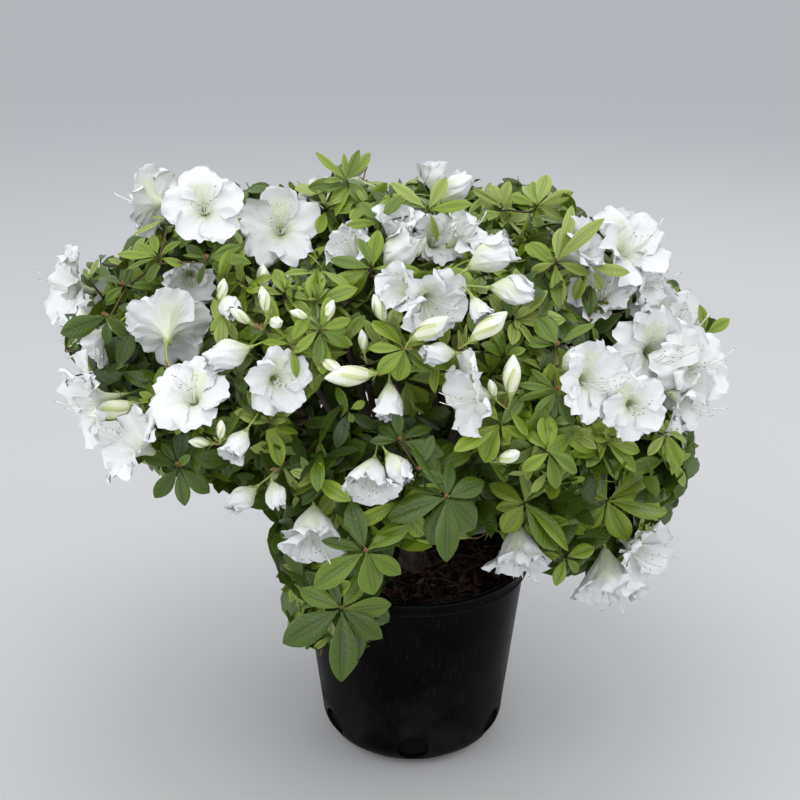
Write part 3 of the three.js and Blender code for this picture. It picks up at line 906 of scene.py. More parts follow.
def skinTargets(mass, count, spacing, rng):
    # Points spread over the outer part of a mass's skin: area-weighted random places, kept when they stand
    # apart
    a, b, c = (mass["corners"][mass["triangles"][:, k]] for k in range(3))
    normal = np.cross(b - a, c - a)
    area = np.linalg.norm(normal, axis=1)
    normal = unit(normal)
    outward = unit((a + b + c) / 3 - crownCentre)
    area = area * ease((normal * outward).sum(1), -0.35, 0.35)
    picks = rng.choice(len(area), 40 * count, p=area / area.sum())
    u, v = np.sqrt(rng.random(len(picks))), rng.random(len(picks))
    points = (1 - u)[:, None] * a[picks] + (u * (1 - v))[:, None] * b[picks] + (u * v)[:, None] * c[picks]
    kept = []
    for i, point in enumerate(points):
        if all(np.linalg.norm(point - points[j]) > spacing for j in kept):
            kept.append(i)
        if len(kept) == count:
            break
    return points[kept], normal[picks[kept]]


class Twigs:
    # The network of places that a new twig may leave from, and the twigs grown so far

    def __init__(self):
        self.places, self.headings, self.owner, self.parents, self.lines = [], [], [], [], []

    def seed(self, places, headings, owner=-1):
        self.places += list(places)
        self.headings += list(headings)
        self.owner += [owner] * len(places)

    def grow(self, target, facing):
        # A cubic curve from the best place of the network to the target: it leaves along its parent's run
        # and comes in along facing
        places, headings = np.array(self.places), np.array(self.headings)
        gap = target - places
        distance = np.linalg.norm(gap, axis=1)
        ahead = (gap * headings).sum(1) / np.maximum(distance, 1e-9)
        entering = (gap * facing).sum(1) / np.maximum(distance, 1e-9)
        cost = distance * (1.5 - growth["ahead"] * ahead - growth["entering"] * entering)
        best = int((cost + np.where(distance < growth["nearest"], 1.0, 0)).argmin())
        start, d = places[best], distance[best]
        leave = unit(headings[best] + growth["aim"] * gap[best] / d)
        t = np.linspace(0, 1, growth["rows"])[:, None]
        one, two = start + leave * d * growth["pull"], target - facing * d * growth["pull"]
        line = bezier(start, one, two, target, t)
        index = len(self.lines)
        self.lines.append(line)
        self.parents.append(self.owner[best])
        self.seed(line[2:-1], unit(np.gradient(line, axis=0))[2:-1], index)
        return index


twigs = Twigs()
for key in keys:
    limb = limbs[key]
    start = int(bark["rows"] * growth["limbFrom"])
    twigs.seed(limb["line"][start::3], limb["heading"][start::3])

frontCentres = np.array([bloom["centre"] for bloom in flowers + buds])
frontX, frontY, frontDepth = project(frontCentres)
frontSize = [f["wide"] * mix(0.35, 0.5, f["open"]) for f in flowers] + [b["long"] * 0.35 for b in buds]
frontPixels = np.array(frontSize) * view["focalPixels"] / frontDepth
bloomDepth = 0.022  # a leaf so far behind a flower's middle still counts as before it


def coversBloom(points, share):
    # Whether each point stands before a placed flower or bud in the photo's view, within a share of its
    # radius
    x, y, depth = project(points)
    near = np.hypot(frontX - x[:, None], frontY - y[:, None]) < frontPixels * share
    near = near & (frontDepth > depth[:, None] - bloomDepth)
    bare = [np.hypot(px - x, py - y) < radius for px, py, radius in flowerOnly]
    return near.any(1) | np.any(bare, 0)


def outside(point):
    # How far a point stands out of the masses, or a negative number inside one
    where, normal, _, distance = crownTree.find_nearest(Vector(point))
    return distance * math.copysign(1, (Vector(point) - where).dot(normal))


def leafSize(point, rng):
    # Leaves are longest low down at the front and shortest high up
    share = ease(point[2], 0.27, 0.52)
    return mix(growth["lowLeaf"], growth["highLeaf"], share) * rng.uniform(0.84, 1.1)


def newShoot(kind, at, face, heading=None, **parts):
    # A shoot with its twig, which comes in along heading or else along the way the whorl faces
    twig = twigs.grow(at, face if heading is None else heading)
    return {"kind": kind, "at": at, "face": face, "twig": twig, "seen": True, **parts}


shoots = []
for at, tone, near, tips in whorlPlaces:
    at = placed(at, near)
    heading = unit(camBack + 0.35 * up + 0.3 * unit(at - crownCentre))
    shoots.append(newShoot("placed", at, unit(camBack + 0.3 * up), heading, tone=tone, tips=tips,
                           long=leafSize(at, rng)))
for key in keys:
    isSkirt = key.startswith("skirt")
    rng = np.random.default_rng(1000 + sum(map(ord, key)) * 7 + len(key))
    count = growth["perMass"] - (growth["skirtLess"] if isSkirt else 0)
    points, normals = skinTargets(masses[key], count, growth["spacing"], rng)
    order = np.linalg.norm(points - limbs[key]["line"][-1], axis=1).argsort()
    for point, normal in zip(points[order], normals[order]):
        long = leafSize(point, rng)
        target = point - normal * long * rng.uniform(*growth["depthShares"])
        facing = unit(normal + 0.45 * up + rng.normal(0, 0.22, 3))
        x, y, _ = project(target[None])
        if not insideOutline(x, y)[0]:
            continue
        if coversBloom(target[None], 1.1)[0]:
            target = target - normal * growth["behindBloom"]
            if coversBloom(target[None], 0.8)[0]:
                continue
        if any(np.linalg.norm(target - s["at"]) < growth["apart"] for s in shoots):
            continue
        # The chances of the four leaf tones: more fresh leaves and fewer dark ones high up
        high = ease(point[2], 0.3, 0.6)
        chances = np.array([0.18 + 0.16 * high, 0.46, 0.24 - 0.10 * high, 0.12 - 0.04 * high])
        shoots.append(newShoot("skin", target, facing, long=long,
                               seen=float(normal @ unit(eye - point)) > 0.05, leaves=int(rng.integers(5, 9)),
                               tone=int(rng.choice(4, p=chances / chances.sum()))))
    within = growth["inner"] // (3 if isSkirt else 1)
    points, normals = skinTargets(masses[key], within, growth["spacing"] * 1.3, rng)
    for point, normal in zip(points, normals):
        target = point - normal * rng.uniform(*growth["innerDepth"])
        facing = unit(normal + 0.3 * up + rng.normal(0, 0.4, 3))
        # Inner leaves take tone 4, the painted shade tone of the crown's inside
        shoots.append(newShoot("inner", target, facing, long=leafSize(point, rng),
                               leaves=int(rng.integers(6, 10)), tone=4))


# Seeded flowers and buds: the chances that a shoot bears some, how far they stand from it along their own
# way and the whorl's, the reach that has to be hidden from the front, sizes in millimetres and openness.
# boxOut is how far they may stand out of the plant's box, and pullIn how far they may be drawn in for it.
truss = {"flowerShare": 0.34, "budShare": 0.12, "most": 3, "flowerOut": 24 * mm, "whorlOut": 14 * mm,
                "flowerReach": 30 * mm, "budOut": 22 * mm, "budReach": 16 * mm, "budHidden": 15 * mm,
                "wide": (70, 84), "open": (0.25, 0.65, 0.8, 0.92, 1.0), "long": (24, 46),
                "boxOut": 13 * mm, "pullIn": 16 * mm, "behind": 25 * mm}


def hiddenFromFront(point, reachOut):
    # Whether masses stand before a flower in the photo's view, at its middle and at four places round it
    for dx, dy in ((0, 0), (1, 0), (-1, 0), (0, 1), (0, -1)):
        there = point + (camRight * dx + camUp * dy) * reachOut
        gap = there - eye
        x, y, _ = project(there[None])
        if not insideOutline(x, y)[0]:
            return False
        hit = crownTree.ray_cast(Vector(eye), Vector(unit(gap)))
        if hit[0] is None or hit[3] > np.linalg.norm(gap) - truss["behind"]:
            return False
    return True


def pulledIn(centre, reachOut):
    # A flower's middle, drawn in so that the flower stays near the plant's box, or None where that is too
    # far
    low, high = (np.array(corner) for corner in cadBox)
    room = truss["boxOut"] - reachOut
    kept = np.clip(centre, low - room, high + room)
    return kept if np.linalg.norm(kept - centre) < truss["pullIn"] else None


# Flowers and buds on the sides that the photo doesn't show, in trusses of one to three
rng = np.random.default_rng(77)
for shoot in shoots:
    if shoot["kind"] != "skin" or shoot["seen"]:
        continue
    lot = rng.random()
    if lot < truss["flowerShare"]:
        for _ in range(int(rng.integers(1, truss["most"] + 1))):
            face = unit(shoot["face"] + rng.normal(0, 0.5, 3) - 0.15 * up)
            reachOut = truss["flowerReach"]
            centre = pulledIn(shoot["at"] + face * truss["flowerOut"]
                              + shoot["face"] * truss["whorlOut"], reachOut)
            if centre is not None and hiddenFromFront(centre, reachOut):
                flowers.append({"centre": centre, "face": face, "wide": rng.uniform(*truss["wide"]) * mm,
                                "open": float(rng.choice(truss["open"])), "roll": rng.normal(0, 0.4),
                                "placed": False, "shoot": shoot, "bell": 0.0, "threads": 1.0})
    elif lot < truss["flowerShare"] + truss["budShare"]:
        for _ in range(int(rng.integers(1, truss["most"] + 1))):
            face = unit(shoot["face"] + rng.normal(0, 0.45, 3))
            centre = pulledIn(shoot["at"] + face * truss["budOut"], truss["budReach"])
            if centre is not None and hiddenFromFront(centre, truss["budHidden"]):
                buds.append({"centre": centre, "face": face, "long": rng.uniform(*truss["long"]) * mm,
                             "placed": False, "shoot": shoot})

# Each placed flower and bud stands on a near shoot, or else on a twig of its own, which ends where its stalk
# starts. The shares are those of a flower's width and of a bud's length that lie behind its middle.
ownShoot = {"flowerFoot": 0.62, "budFoot": 0.5, "stalk": 10 * mm, "near": 16 * mm, "leafShare": 0.85}
for bloom in flowers + buds:
    if not bloom["placed"]:
        continue
    size = bloom["wide"] * ownShoot["flowerFoot"] if "wide" in bloom else bloom["long"] * ownShoot["budFoot"]
    foot = bloom["centre"] - bloom["face"] * size
    away = unit(bloom["face"] + 0.5 * unit(foot - crownCentre))
    at = foot - away * ownShoot["stalk"]
    gaps = [(float(np.linalg.norm(s["at"] - at)), s) for s in shoots if s["kind"] != "inner"]
    distance, nearest = min(gaps, key=lambda pair: pair[0])
    if distance < ownShoot["near"]:
        bloom["shoot"] = nearest
    else:
        bloom["shoot"] = newShoot("behind", at, away, long=leafSize(at, rng) * ownShoot["leafShare"],
                                  leaves=int(rng.integers(4, 7)), tone=int(rng.choice(3)))
        shoots.append(bloom["shoot"])
print(len(shoots), "shoots,", len(flowers), "flowers and", len(buds), "buds on", len(twigs.lines), "twigs")

# Petals in place: fine grids for the flowers that the photo shows, and plain ones for the others
rng = np.random.default_rng(19)
blossoms = []
for name, grid, isPlaced in (("petalsFront", "fine", True), ("petalsRound", "plain", False)):
    group = [flower for flower in flowers if flower["placed"] == isPlaced]
    points, height = corollas(group, rng, *corolla[grid])
    facing, openness, roll, centres = (
        np.array([flower[key] for flower in group]) for key in ("face", "open", "roll", "centre"))
    turns = axesOf(facing, roll)
    share = mix(0.5, 0.86, ease(openness, 0.3, 0.8))
    bases = centres - facing * (height * share)[:, None]
    points = np.einsum("fij,fprcj->fprci", turns, points) + bases[:, None, None, None]
    for flower, base, turn in zip(group, bases, turns):
        flower["base"], flower["turn"] = base, turn
    blossoms.append({"name": name, "points": points, "facing": facing, "open": openness})
petalTree = treeOf([(part["points"], gridFaces(*part["points"].shape[2:4], petalCount * len(part["points"])))
                    for part in blossoms])

# Leaves. A shape is the rows along a leaf, the columns from -1 to 1 across it, and the material of each
# strip between two columns: 0 the blade, 1 the vein, 2 the rim, partly painted sheen, and 3 the fold, the
# blade darkened as painted shade. A tone is the colours of the first three, after its name.

leafShapes = {
    "fine": {"rows": (0.0, 0.05, 0.13, 0.23, 0.34, 0.45, 0.56, 0.67, 0.78, 0.88, 0.95, 1.0),
             "cols": (-1, -0.955, -0.6, -0.3, -0.032, 0.032, 0.3, 0.6, 0.955, 1),
             "looks": (2, 0, 0, 3, 1, 3, 0, 0, 2)},
    "skin": {"rows": (0.0, 0.11, 0.26, 0.43, 0.60, 0.76, 0.90, 1.0), "cols": (-1, -0.5, -0.04, 0.04, 0.5, 1),
             "looks": (0, 3, 1, 3, 0)},
    "plain": {"rows": (0.0, 0.14, 0.36, 0.60, 0.83, 1.0), "cols": (-1, -0.5, 0, 0.5, 1),
              "looks": (0, 0, 0, 0)},
    "simple": {"rows": (0.0, 0.20, 0.48, 0.78, 1.0), "cols": (-1, 0, 1), "looks": (0, 0)},
    "scale": {"rows": (0.0, 0.35, 0.75, 1.0), "cols": (-1, 0, 1), "looks": (0, 0)},
}
leafTones = [
    # The fresh tone is young leaves' light green, its greyish blue partly a painted sheen
    ("leavesFresh", (0.300, 0.378, 0.074), (0.38, 0.47, 0.09), (0.42, 0.50, 0.12)),
    ("leavesMid", (0.220, 0.314, 0.022), (0.26, 0.35, 0.05), (0.31, 0.40, 0.08)),
    ("leavesDeep", (0.124, 0.200, 0.011), (0.15, 0.23, 0.035), (0.18, 0.26, 0.045)),
    ("leavesOld", (0.066, 0.114, 0.008), (0.08, 0.14, 0.025), (0.09, 0.15, 0.03)),
    # The last tone is painted shade: near-black leaves for the crown's dark inside and its hollows
    ("leavesShade", (0.036, 0.064, 0.007), (0.04, 0.07, 0.015), (0.04, 0.07, 0.02)),
]


def leafBlades(leaves, shape):
    # Leaf sheets as an array (leaf, row, column, xyz). The outline is s^1.2 (1 - s)^0.85 along the length,
    # over its highest value. The blade folds up from its midrib, and the midrib bends down along an arc of a
    # circle.
    def each(*keys):
        return (np.array([leaf[key] for leaf in leaves])[:, None, None] for key in keys)

    root, along, side, top = each("root", "along", "side", "top")
    length, wide, bend, fold = each("long", "wide", "bend", "fold")
    twist, size, phase = each("twist", "wave", "phase")
    s = np.array(shape["rows"])[None, :, None]
    t = np.array(shape["cols"], float)[None, None]
    outline = s ** 1.2 * (1 - s) ** 0.85
    outline = np.maximum(outline / 0.249, np.where(s < 0.5, 0.09, 0.035))
    half = outline * length * wide / 2
    run = np.sin(bend * s) / bend * length + 0 * t
    drop = -(1 - np.cos(bend * s)) / bend * length + 0 * t
    wave = size * np.sin(8 * s + 3 * t + phase) * np.abs(t) * length
    sideways = t * half * np.cos(fold)
    rise = np.abs(t) * half * np.sin(fold) - 0.7 * half * np.clip(np.abs(t) - 0.40, 0, 1) ** 2 + wave
    turn = twist * s
    x = sideways * np.cos(turn) - rise * np.sin(turn)
    z = drop + sideways * np.sin(turn) + rise * np.cos(turn)
    points = root + x[..., None] * side + run[..., None] * along + z[..., None] * top
    uv = np.stack(np.broadcast_arrays((t + 1) / 2, s), -1)
    return points, np.broadcast_to(uv, points.shape[:-1] + (2,))


def addLeaves(pile, leaves, shape, look=None):
    # Adds leaf sheets to a pile. Each strip of a leaf has its own material, unless one look is given.
    if not leaves:
        return
    points, uv = leafBlades(leaves, shape)
    rows, cols = len(shape["rows"]), len(shape["cols"])
    looks = np.tile(shape["looks"], (rows - 1) * len(leaves)) if look is None else look
    pile.add(points, gridFaces(rows, cols, len(leaves)), uv, looks)


def leafAt(root, along, top, long, rng, wide=None, bend=None):
    # One leaf's sizes and axes. along is its run and top the side that it shows upwards.
    along = unit(along)
    side = unit(np.cross(along, top))
    return {"root": root, "along": along, "side": side, "top": np.cross(side, along), "long": long,
            "wide": wide or rng.uniform(0.34, 0.48), "bend": bend or rng.uniform(0.2, 0.9),
            "fold": rng.uniform(0.10, 0.50), "twist": rng.normal(0, 0.25), "wave": rng.uniform(0.004, 0.014),
            "phase": rng.uniform(0, anyPhase)}


def around(heading, angle, lean):
    # The run and the upper side of a leaf that leans by an angle from its twig's heading
    first, second = across(heading)
    radial = first * math.cos(angle) + second * math.sin(angle)
    return (heading * math.cos(lean) + radial * math.sin(lean),
            heading * math.sin(lean) - radial * math.cos(lean))


# Leans are in degrees from the way a whorl faces: of its leaves, less on the fresh ones by freshLean, of
# those behind a bloom, of the young leaves in its middle, of the older ones below it and of those on its
# twig. Shares are those of the whorl's leaf length, and runs is how many leaves each of the last three sets
# has.
whorl = {"lean": (52, 86), "freshLean": 0.62, "behindLean": (80, 115), "long": (0.72, 1.08),
         "youngLean": (14, 44), "youngLong": (0.32, 0.55), "olderLean": (72, 100), "olderLong": (0.7, 1.0),
         "olderBelow": (8, 14), "runs": (2, 5), "twigLean": (50, 88), "twigLong": (0.6, 0.9),
         "twigPart": (0.35, 0.92), "twigRuns": (2, 6)}


def leavesOf(shoot, rng):
    # The leaves of a shoot: its whorl, the young and the older leaves of a whorl on the skin, and a few on
    # its twig
    face, at, tone, kind, long = (shoot[key] for key in ("face", "at", "tone", "kind", "long"))
    start = rng.uniform(0, fullTurn)
    plain = {"inner": "simple", "fill": "plain"}.get(kind, "skin" if shoot["seen"] else "plain")
    made = []

    def leaning(part):
        return math.radians(rng.uniform(*whorl[part]))

    def add(root, run, tone, long, fixed=False, **sizes):
        leaf = leafAt(root, *run, long, rng, **sizes)
        made.append({**leaf, "tone": tone, "fixed": fixed, "shape": "fine" if fixed else plain})

    if kind == "placed":
        for px, py, wide in shoot["tips"]:
            gap = beside(px, py, at) - at + camBack * rng.uniform(-12, 5) * mm
            root = at + unit(gap) * rng.uniform(1, 4) * mm - camBack * rng.uniform(0, 7) * mm
            top = camBack * 0.8 + up * 0.4 + rng.normal(0, 0.30, 3)
            own = min(3, tone + int(rng.random() < 0.2))
            add(root, (gap, top), own, float(np.linalg.norm(gap)) * 1.02, fixed=True, wide=wide * 1.12,
                bend=rng.uniform(0.15, 0.65))
            made[-1]["twist"] *= 0.4
    else:
        for i in range(shoot["leaves"]):
            lean = leaning("lean") * (whorl["freshLean"] if tone == 0 else 1.0)
            if kind == "behind":
                lean = leaning("behindLean")
            run = around(face, start + fullTurn * i / shoot["leaves"] + rng.normal(0, 0.2), lean)
            root = at - face * rng.uniform(0, 6) * mm + run[0] * rng.uniform(0, 3) * mm
            add(root, run, tone, long * rng.uniform(*whorl["long"]))
    if kind in ("skin", "placed"):
        for i in range(int(rng.integers(*whorl["runs"]))):
            run = around(face, start + 0.5 + goldenAngle * i, leaning("youngLean"))
            add(at, run, max(0, tone - 1), long * rng.uniform(*whorl["youngLong"]))
        for i in range(int(rng.integers(*whorl["runs"]))):
            run = around(face, start + 0.9 + goldenAngle * i, leaning("olderLean"))
            root = at - face * rng.uniform(*whorl["olderBelow"]) * mm
            add(root, run, min(3, tone + 1), long * rng.uniform(*whorl["olderLong"]))
    line = twigs.lines[shoot["twig"]]
    for i in range(int(rng.integers(*whorl["twigRuns"]))):
        share = rng.uniform(*whorl["twigPart"]) * (len(line) - 1)
        low = int(share)
        run = around(unit(line[low + 1] - line[low]), goldenAngle * i + start, leaning("twigLean"))
        # Leaves on a twig are darker than their whorl: older, and inside the crown down to the painted shade
        # tone
        older = 4 if kind == "inner" else min(4, tone + int(rng.integers(0, 3)))
        add(mix(line[low], line[low + 1], share - low), run, older, long * rng.uniform(*whorl["twigLong"]))
    return made


def midrib(leaf, share):
    # A point on a leaf's midrib, which bends away from the leaf's upper side
    sag = leaf["top"] * leaf["bend"] * 0.4 * share ** 2
    return leaf["root"] + leaf["long"] * (leaf["along"] * share - sag)


def pierces(leaf):
    # Whether a leaf goes through a petal, along its midrib or across its middle
    foot, middle, tip = (midrib(leaf, share) for share in (0.04, 0.5, 0.98))
    reach = leaf["side"] * leaf["long"] * leaf["wide"] * 0.45
    for start, end in ((foot, middle), (middle, tip), (middle - reach, middle + reach)):
        gap = end - start
        hit = petalTree.ray_cast(Vector(start), Vector(gap).normalized(), float(np.linalg.norm(gap)))
        if hit[0] is not None:
            return True
    return False


def turnClear(leaf):
    # A placed leaf that goes through a petal turns to the camera, or away from it, until it is clear
    along, top = leaf["along"], leaf["top"]
    for lean in (0.0, 0.25, 0.5, 0.75, 1.0, -0.25, -0.5):
        leaf["along"] = unit(along + camBack * lean)
        leaf["side"] = unit(np.cross(leaf["along"], top))
        leaf["top"] = np.cross(leaf["side"], leaf["along"])
        if not pierces(leaf):
            return


def tidied(leaves, skinOnly=True):
    # The leaves that hide no flower of the photo, go through no petal and whose tips stay near the photo's
    # outline and, where skinOnly is set, near the crown's skin
    for leaf in leaves:
        if leaf["fixed"]:
            turnClear(leaf)
    leaves = [leaf for leaf in leaves if leaf["fixed"] or not pierces(leaf)]
    middles, tips = (np.array([midrib(leaf, share) for leaf in leaves]) for share in (0.5, 0.97))
    bad = coversBloom(tips, 0.86) | coversBloom(middles, 0.9)
    if skinOnly:
        bad |= np.array([outside(tip) > growth["tipOut"] for tip in tips])
    # Each leaf has its own margin at the outline, so that some tips stand out of it
    margin = np.random.default_rng(len(leaves)).uniform(*growth["margins"], len(leaves))
    for points in (middles, tips):
        pixels = np.stack(project(points)[:2], -1)
        x, y = (pixels + unit(pixels - growth["middlePixel"]) * margin[:, None]).T
        bad |= ~insideOutline(x, y)
    return [leaf for leaf, drop in zip(leaves, bad) if leaf["fixed"] or not drop]


def thinned(leaves, rng):
    # The leaves with those in the photo's hollows darker and fewer
    middles = np.array([leaf["root"] + leaf["along"] * leaf["long"] * 0.5 for leaf in leaves])
    x, y, _ = project(middles)
    inHollow = np.any([np.hypot(px - x, py - y) < radius for px, py, radius in hollows], 0)
    kept = []
    for leaf, deep in zip(leaves, inHollow):
        if deep and not leaf["fixed"]:
            # Painted shade: a leaf in a hollow goes two tones darker
            leaf["tone"] = min(4, leaf["tone"] + 2)
        if leaf["fixed"] or not deep or leaf["tone"] == 4 or rng.random() < 0.55:
            kept.append(leaf)
    return kept


# Whorls that close the gaps. In the photo's view, pixels of a grid that starts at low are looked at step by
# step, at so many pixels from the outline and from each other, and a whorl goes to the deepest of the depths
# looked at. Round the crown, views at turns and rises in degrees look at places a step apart on a shell,
# which is a share of the crown's size, and a whorl goes in at each open place that stands apart from the
# others.
filling = {"rounds": 3, "step": 5, "low": (60, 150), "span": 640,
           "inside": ((-7, 0), (7, 0), (0, 9), (0, -7)), "apart": 14, "depths": (-0.12, 0.19, 0.015),
           "deepest": 75 * mm, "leaves": 8, "leafShare": 0.85,
           "sideStep": 17 * mm, "sideSpan": 0.32, "shell": 0.86, "whorlAt": 0.90, "lowest": 0.30,
           "turns": range(30, 331, 30), "rises": ((5, -0.05), (35, -0.05), (70, -0.15)), "sideApart": 30 * mm,
           "bloomRadius": 28 * mm, "away": 0.3}


def leafTreeOf(leaves):
    # A search tree of the leaves, each as a simple sheet
    shape = leafShapes["scale"]
    quads = gridFaces(len(shape["rows"]), len(shape["cols"]), len(leaves))
    return treeOf([(leafBlades(leaves, shape)[0], quads)])


def openPixels(leaves):
    # Pixels inside the outline through which the camera sees past all leaves, flowers, limbs and the pot
    leafTree = leafTreeOf(leaves)
    x, y = (part.ravel() for part in np.meshgrid(
        *(np.arange(low, low + filling["span"], filling["step"]) for low in filling["low"])))
    within = insideOutline(x, y)
    for dx, dy in filling["inside"]:
        within &= insideOutline(x + dx, y + dy)
    found = []
    for px, py in zip(x[within], y[within]):
        ray = pixelRay(px, py)
        if coversBloom((eye + ray * 0.5)[None], 0.8)[0]:
            continue
        if all(tree.ray_cast(Vector(eye), Vector(ray))[0] is None for tree in (leafTree, solidTree)):
            found.append((px, py))
    return found


def openSides(leaves):
    # Points on a shell round the crown, behind and beside, where a view from outside sees through it. The
    # shell is an ellipsoid, met where a quadratic in the distance along the view has its larger root.
    leafTree = leafTreeOf(leaves)
    corners = np.concatenate([mass["corners"] for mass in masses.values()])
    middle, reach = (corners.max(0) + corners.min(0)) / 2, np.ptp(corners, 0) / 2 * filling["shell"]
    blooms = np.array([flower["centre"] for flower in flowers])
    steps = np.arange(-filling["sideSpan"], filling["sideSpan"], filling["sideStep"])
    views = [(turn, rise, foremost) for turn in filling["turns"] for rise, foremost in filling["rises"]]
    found = []
    for turn, rise, foremost in views:
        a, b = math.radians(turn), math.radians(rise)
        back = np.array([math.sin(a) * math.cos(b), -math.cos(a) * math.cos(b), math.sin(b)])
        first, second = across(back)
        e = back / reach
        for i, j in ((i, j) for i in steps for j in steps):
            start = middle + first * i + second * j
            q = (start - middle) / reach
            root = (q @ e) ** 2 - (e @ e) * (q @ q - 1)
            if root < 0:
                continue
            point = start + back * (math.sqrt(root) - q @ e) / (e @ e)
            if point[2] < filling["lowest"] or point[1] < foremost:
                continue
            gap = blooms - point
            beyond = gap - (gap @ back)[:, None] * back
            if (np.linalg.norm(beyond, axis=1) < filling["bloomRadius"]).any():
                continue
            if leafTree.ray_cast(Vector(point + back * filling["away"]), Vector(-back))[0] is None:
                found.append(mix(middle, point, filling["whorlAt"]))
    return found


rng = np.random.default_rng(5)
leaves = thinned(tidied([leaf for shoot in shoots for leaf in leavesOf(shoot, rng)]), rng)
print(len(leaves), "leaves before the gaps are filled")
for _ in range(filling["rounds"]):
    gaps = openSides(leaves)
    filled, extra = [], []
    for place in gaps:
        if any(np.linalg.norm(place - other) < filling["sideApart"] for other in filled):
            continue
        filled.append(place)
        face = unit(unit(place - crownCentre) + 0.4 * up + rng.normal(0, 0.3, 3))
        shoot = newShoot("skin", place, face, seen=False, long=leafSize(place, rng),
                         leaves=int(rng.integers(6, 10)), tone=int(rng.integers(1, 4)))
        extra += leavesOf(shoot, rng)
    print(len(gaps), "open sights from the sides,", len(filled), "whorls put there")
    if extra:
        leaves += tidied(extra, skinOnly=False)
depths = float(-(crownCentre - eye) @ camBack) + np.arange(*filling["depths"])
for _ in range(filling["rounds"]):
    gaps = openPixels(leaves)
    filled, extra = [], []
    for px, py in gaps:
        if any(math.hypot(px - x, py - y) < filling["apart"] for x, y in filled):
            continue
        ray = pixelRay(px, py)
        places = [eye - ray * depth / (ray @ camBack) for depth in depths]
        inward = [outside(place) for place in places]
        best = int(np.argmin(inward))
        if inward[best] > filling["deepest"]:
            continue
        filled.append((px, py))
        face = unit(camBack + 0.6 * up + rng.normal(0, 0.35, 3))
        long = leafSize(places[best], rng) * filling["leafShare"]
        shoot = newShoot("fill", places[best], face, long=long, leaves=filling["leaves"], tone=3)
        extra += leavesOf(shoot, rng)
    print(len(gaps), "open pixels,", len(filled), "whorls put behind them")
    if extra:
        leaves += tidied(extra, skinOnly=False)

# Twigs: the radius at a twig's foot grows with the number of twigs that it bears. Old and young ones differ.
loads = np.ones(len(twigs.lines))
for index in range(len(twigs.lines) - 1, -1, -1):
    if twigs.parents[index] >= 0:
        loads[twigs.parents[index]] += loads[index]
share = np.linspace(0, 1, growth["rows"])[None]
footRadius = (growth["tipRadius"] * loads ** growth["thicken"])[:, None]
twigRadii = mix(footRadius * 1.25, growth["tipRadius"], share ** 0.7)
twigLines = np.array(twigs.lines)
isYoung = loads < 2
twigPile = Pile()
for look, chosen in enumerate((~isYoung, isYoung)):
    twigPile.addTubes(twigLines[chosen], twigRadii[chosen], growth["cols"], look)
oldTwig = Look("twig", (0.050, 0.022, 0.014), 0.7)
oldTwig.grit(900, 3, 0.3 * mm, 0.6)
youngTwig = Look("youngTwig", (0.13, 0.075, 0.030), 0.6)
youngTwig.grit(900, 3, 0.2 * mm, 0.5)
makePiece("twigs", twigPile, [oldTwig, youngTwig])

# Blades and folds carry side veins, slanting forwards from the midrib, and a quilt of small noise between
# them. The folds are the blade darkened as painted shade in the crease.
leafSkin = {"roughness": 0.28, "specular": 0.46, "relief": 0.55 * mm, "strength": 0.5, "foldShade": 0.74,
            "slant": 0.24, "veins": 50.0, "quilt": (9.0, 22.0, 3), "quiltShare": 0.9}
for index, (name, blade, vein, rim) in enumerate(leafTones):
    pile = Pile()
    for shape in ("fine", "skin", "plain", "simple"):
        addLeaves(pile, [leaf for leaf in leaves if leaf["tone"] == index and leaf["shape"] == shape],
                  leafShapes[shape])
    looks = []
    # The fold strips are the blade's colour darkened: painted shade in the crease beside the midrib
    fold = tuple(channel * leafSkin["foldShade"] for channel in blade)
    # The rim strips are paler: the margin's own pale hairs, and painted sheen where the hairs catch light
    for part, colour in (("Blade", blade), ("Vein", vein), ("Rim", rim), ("Fold", fold)):
        look = Look(name + part, colour, leafSkin["roughness"], leafSkin["specular"])
        if part in ("Blade", "Fold"):
            u, v = look.uv()
            off = look.math("ABSOLUTE", look.math("SUBTRACT", look.times(u, 2.0), 1.0))
            slant = look.math("SUBTRACT", v, look.times(off, leafSkin["slant"]))
            veins = look.ramp(look.math("SINE", look.times(slant, leafSkin["veins"])), 0.4, 1.0)
            quilt = look.times(look.uvSpots(*leafSkin["quilt"]), leafSkin["quiltShare"])
            look.bump(look.math("SUBTRACT", quilt, veins), leafSkin["relief"], leafSkin["strength"])
        looks.append(look)
    makePiece(name, pile, looks, massNames)


# Flowers. The tints of a petal are dealt out by its rows, white at the rim and green in the throat.

petalTints = [("petalWhite", (0.80, 0.81, 0.81)), ("petalPale", (0.785, 0.805, 0.75)),
              ("petalTinge", (0.755, 0.785, 0.62)), ("petalThroat", (0.74, 0.78, 0.49))]
petalLooks = []
for name, colour in petalTints:
    look = Look(name, colour, 0.6, 0.25)
    look.bump(look.uvSpots(26.0, 6.0, 5), 1.3 * mm, 0.62)
    petalLooks.append(look)

# Freckles of the upper petal: how many, the rows and columns between which they lie, and their half sizes
freckle = {"count": 16, "rows": (0.26, 0.58), "cols": (0.27, 0.73), "long": 0.55 * mm, "wide": 0.30 * mm,
           "above": 0.2 * mm}


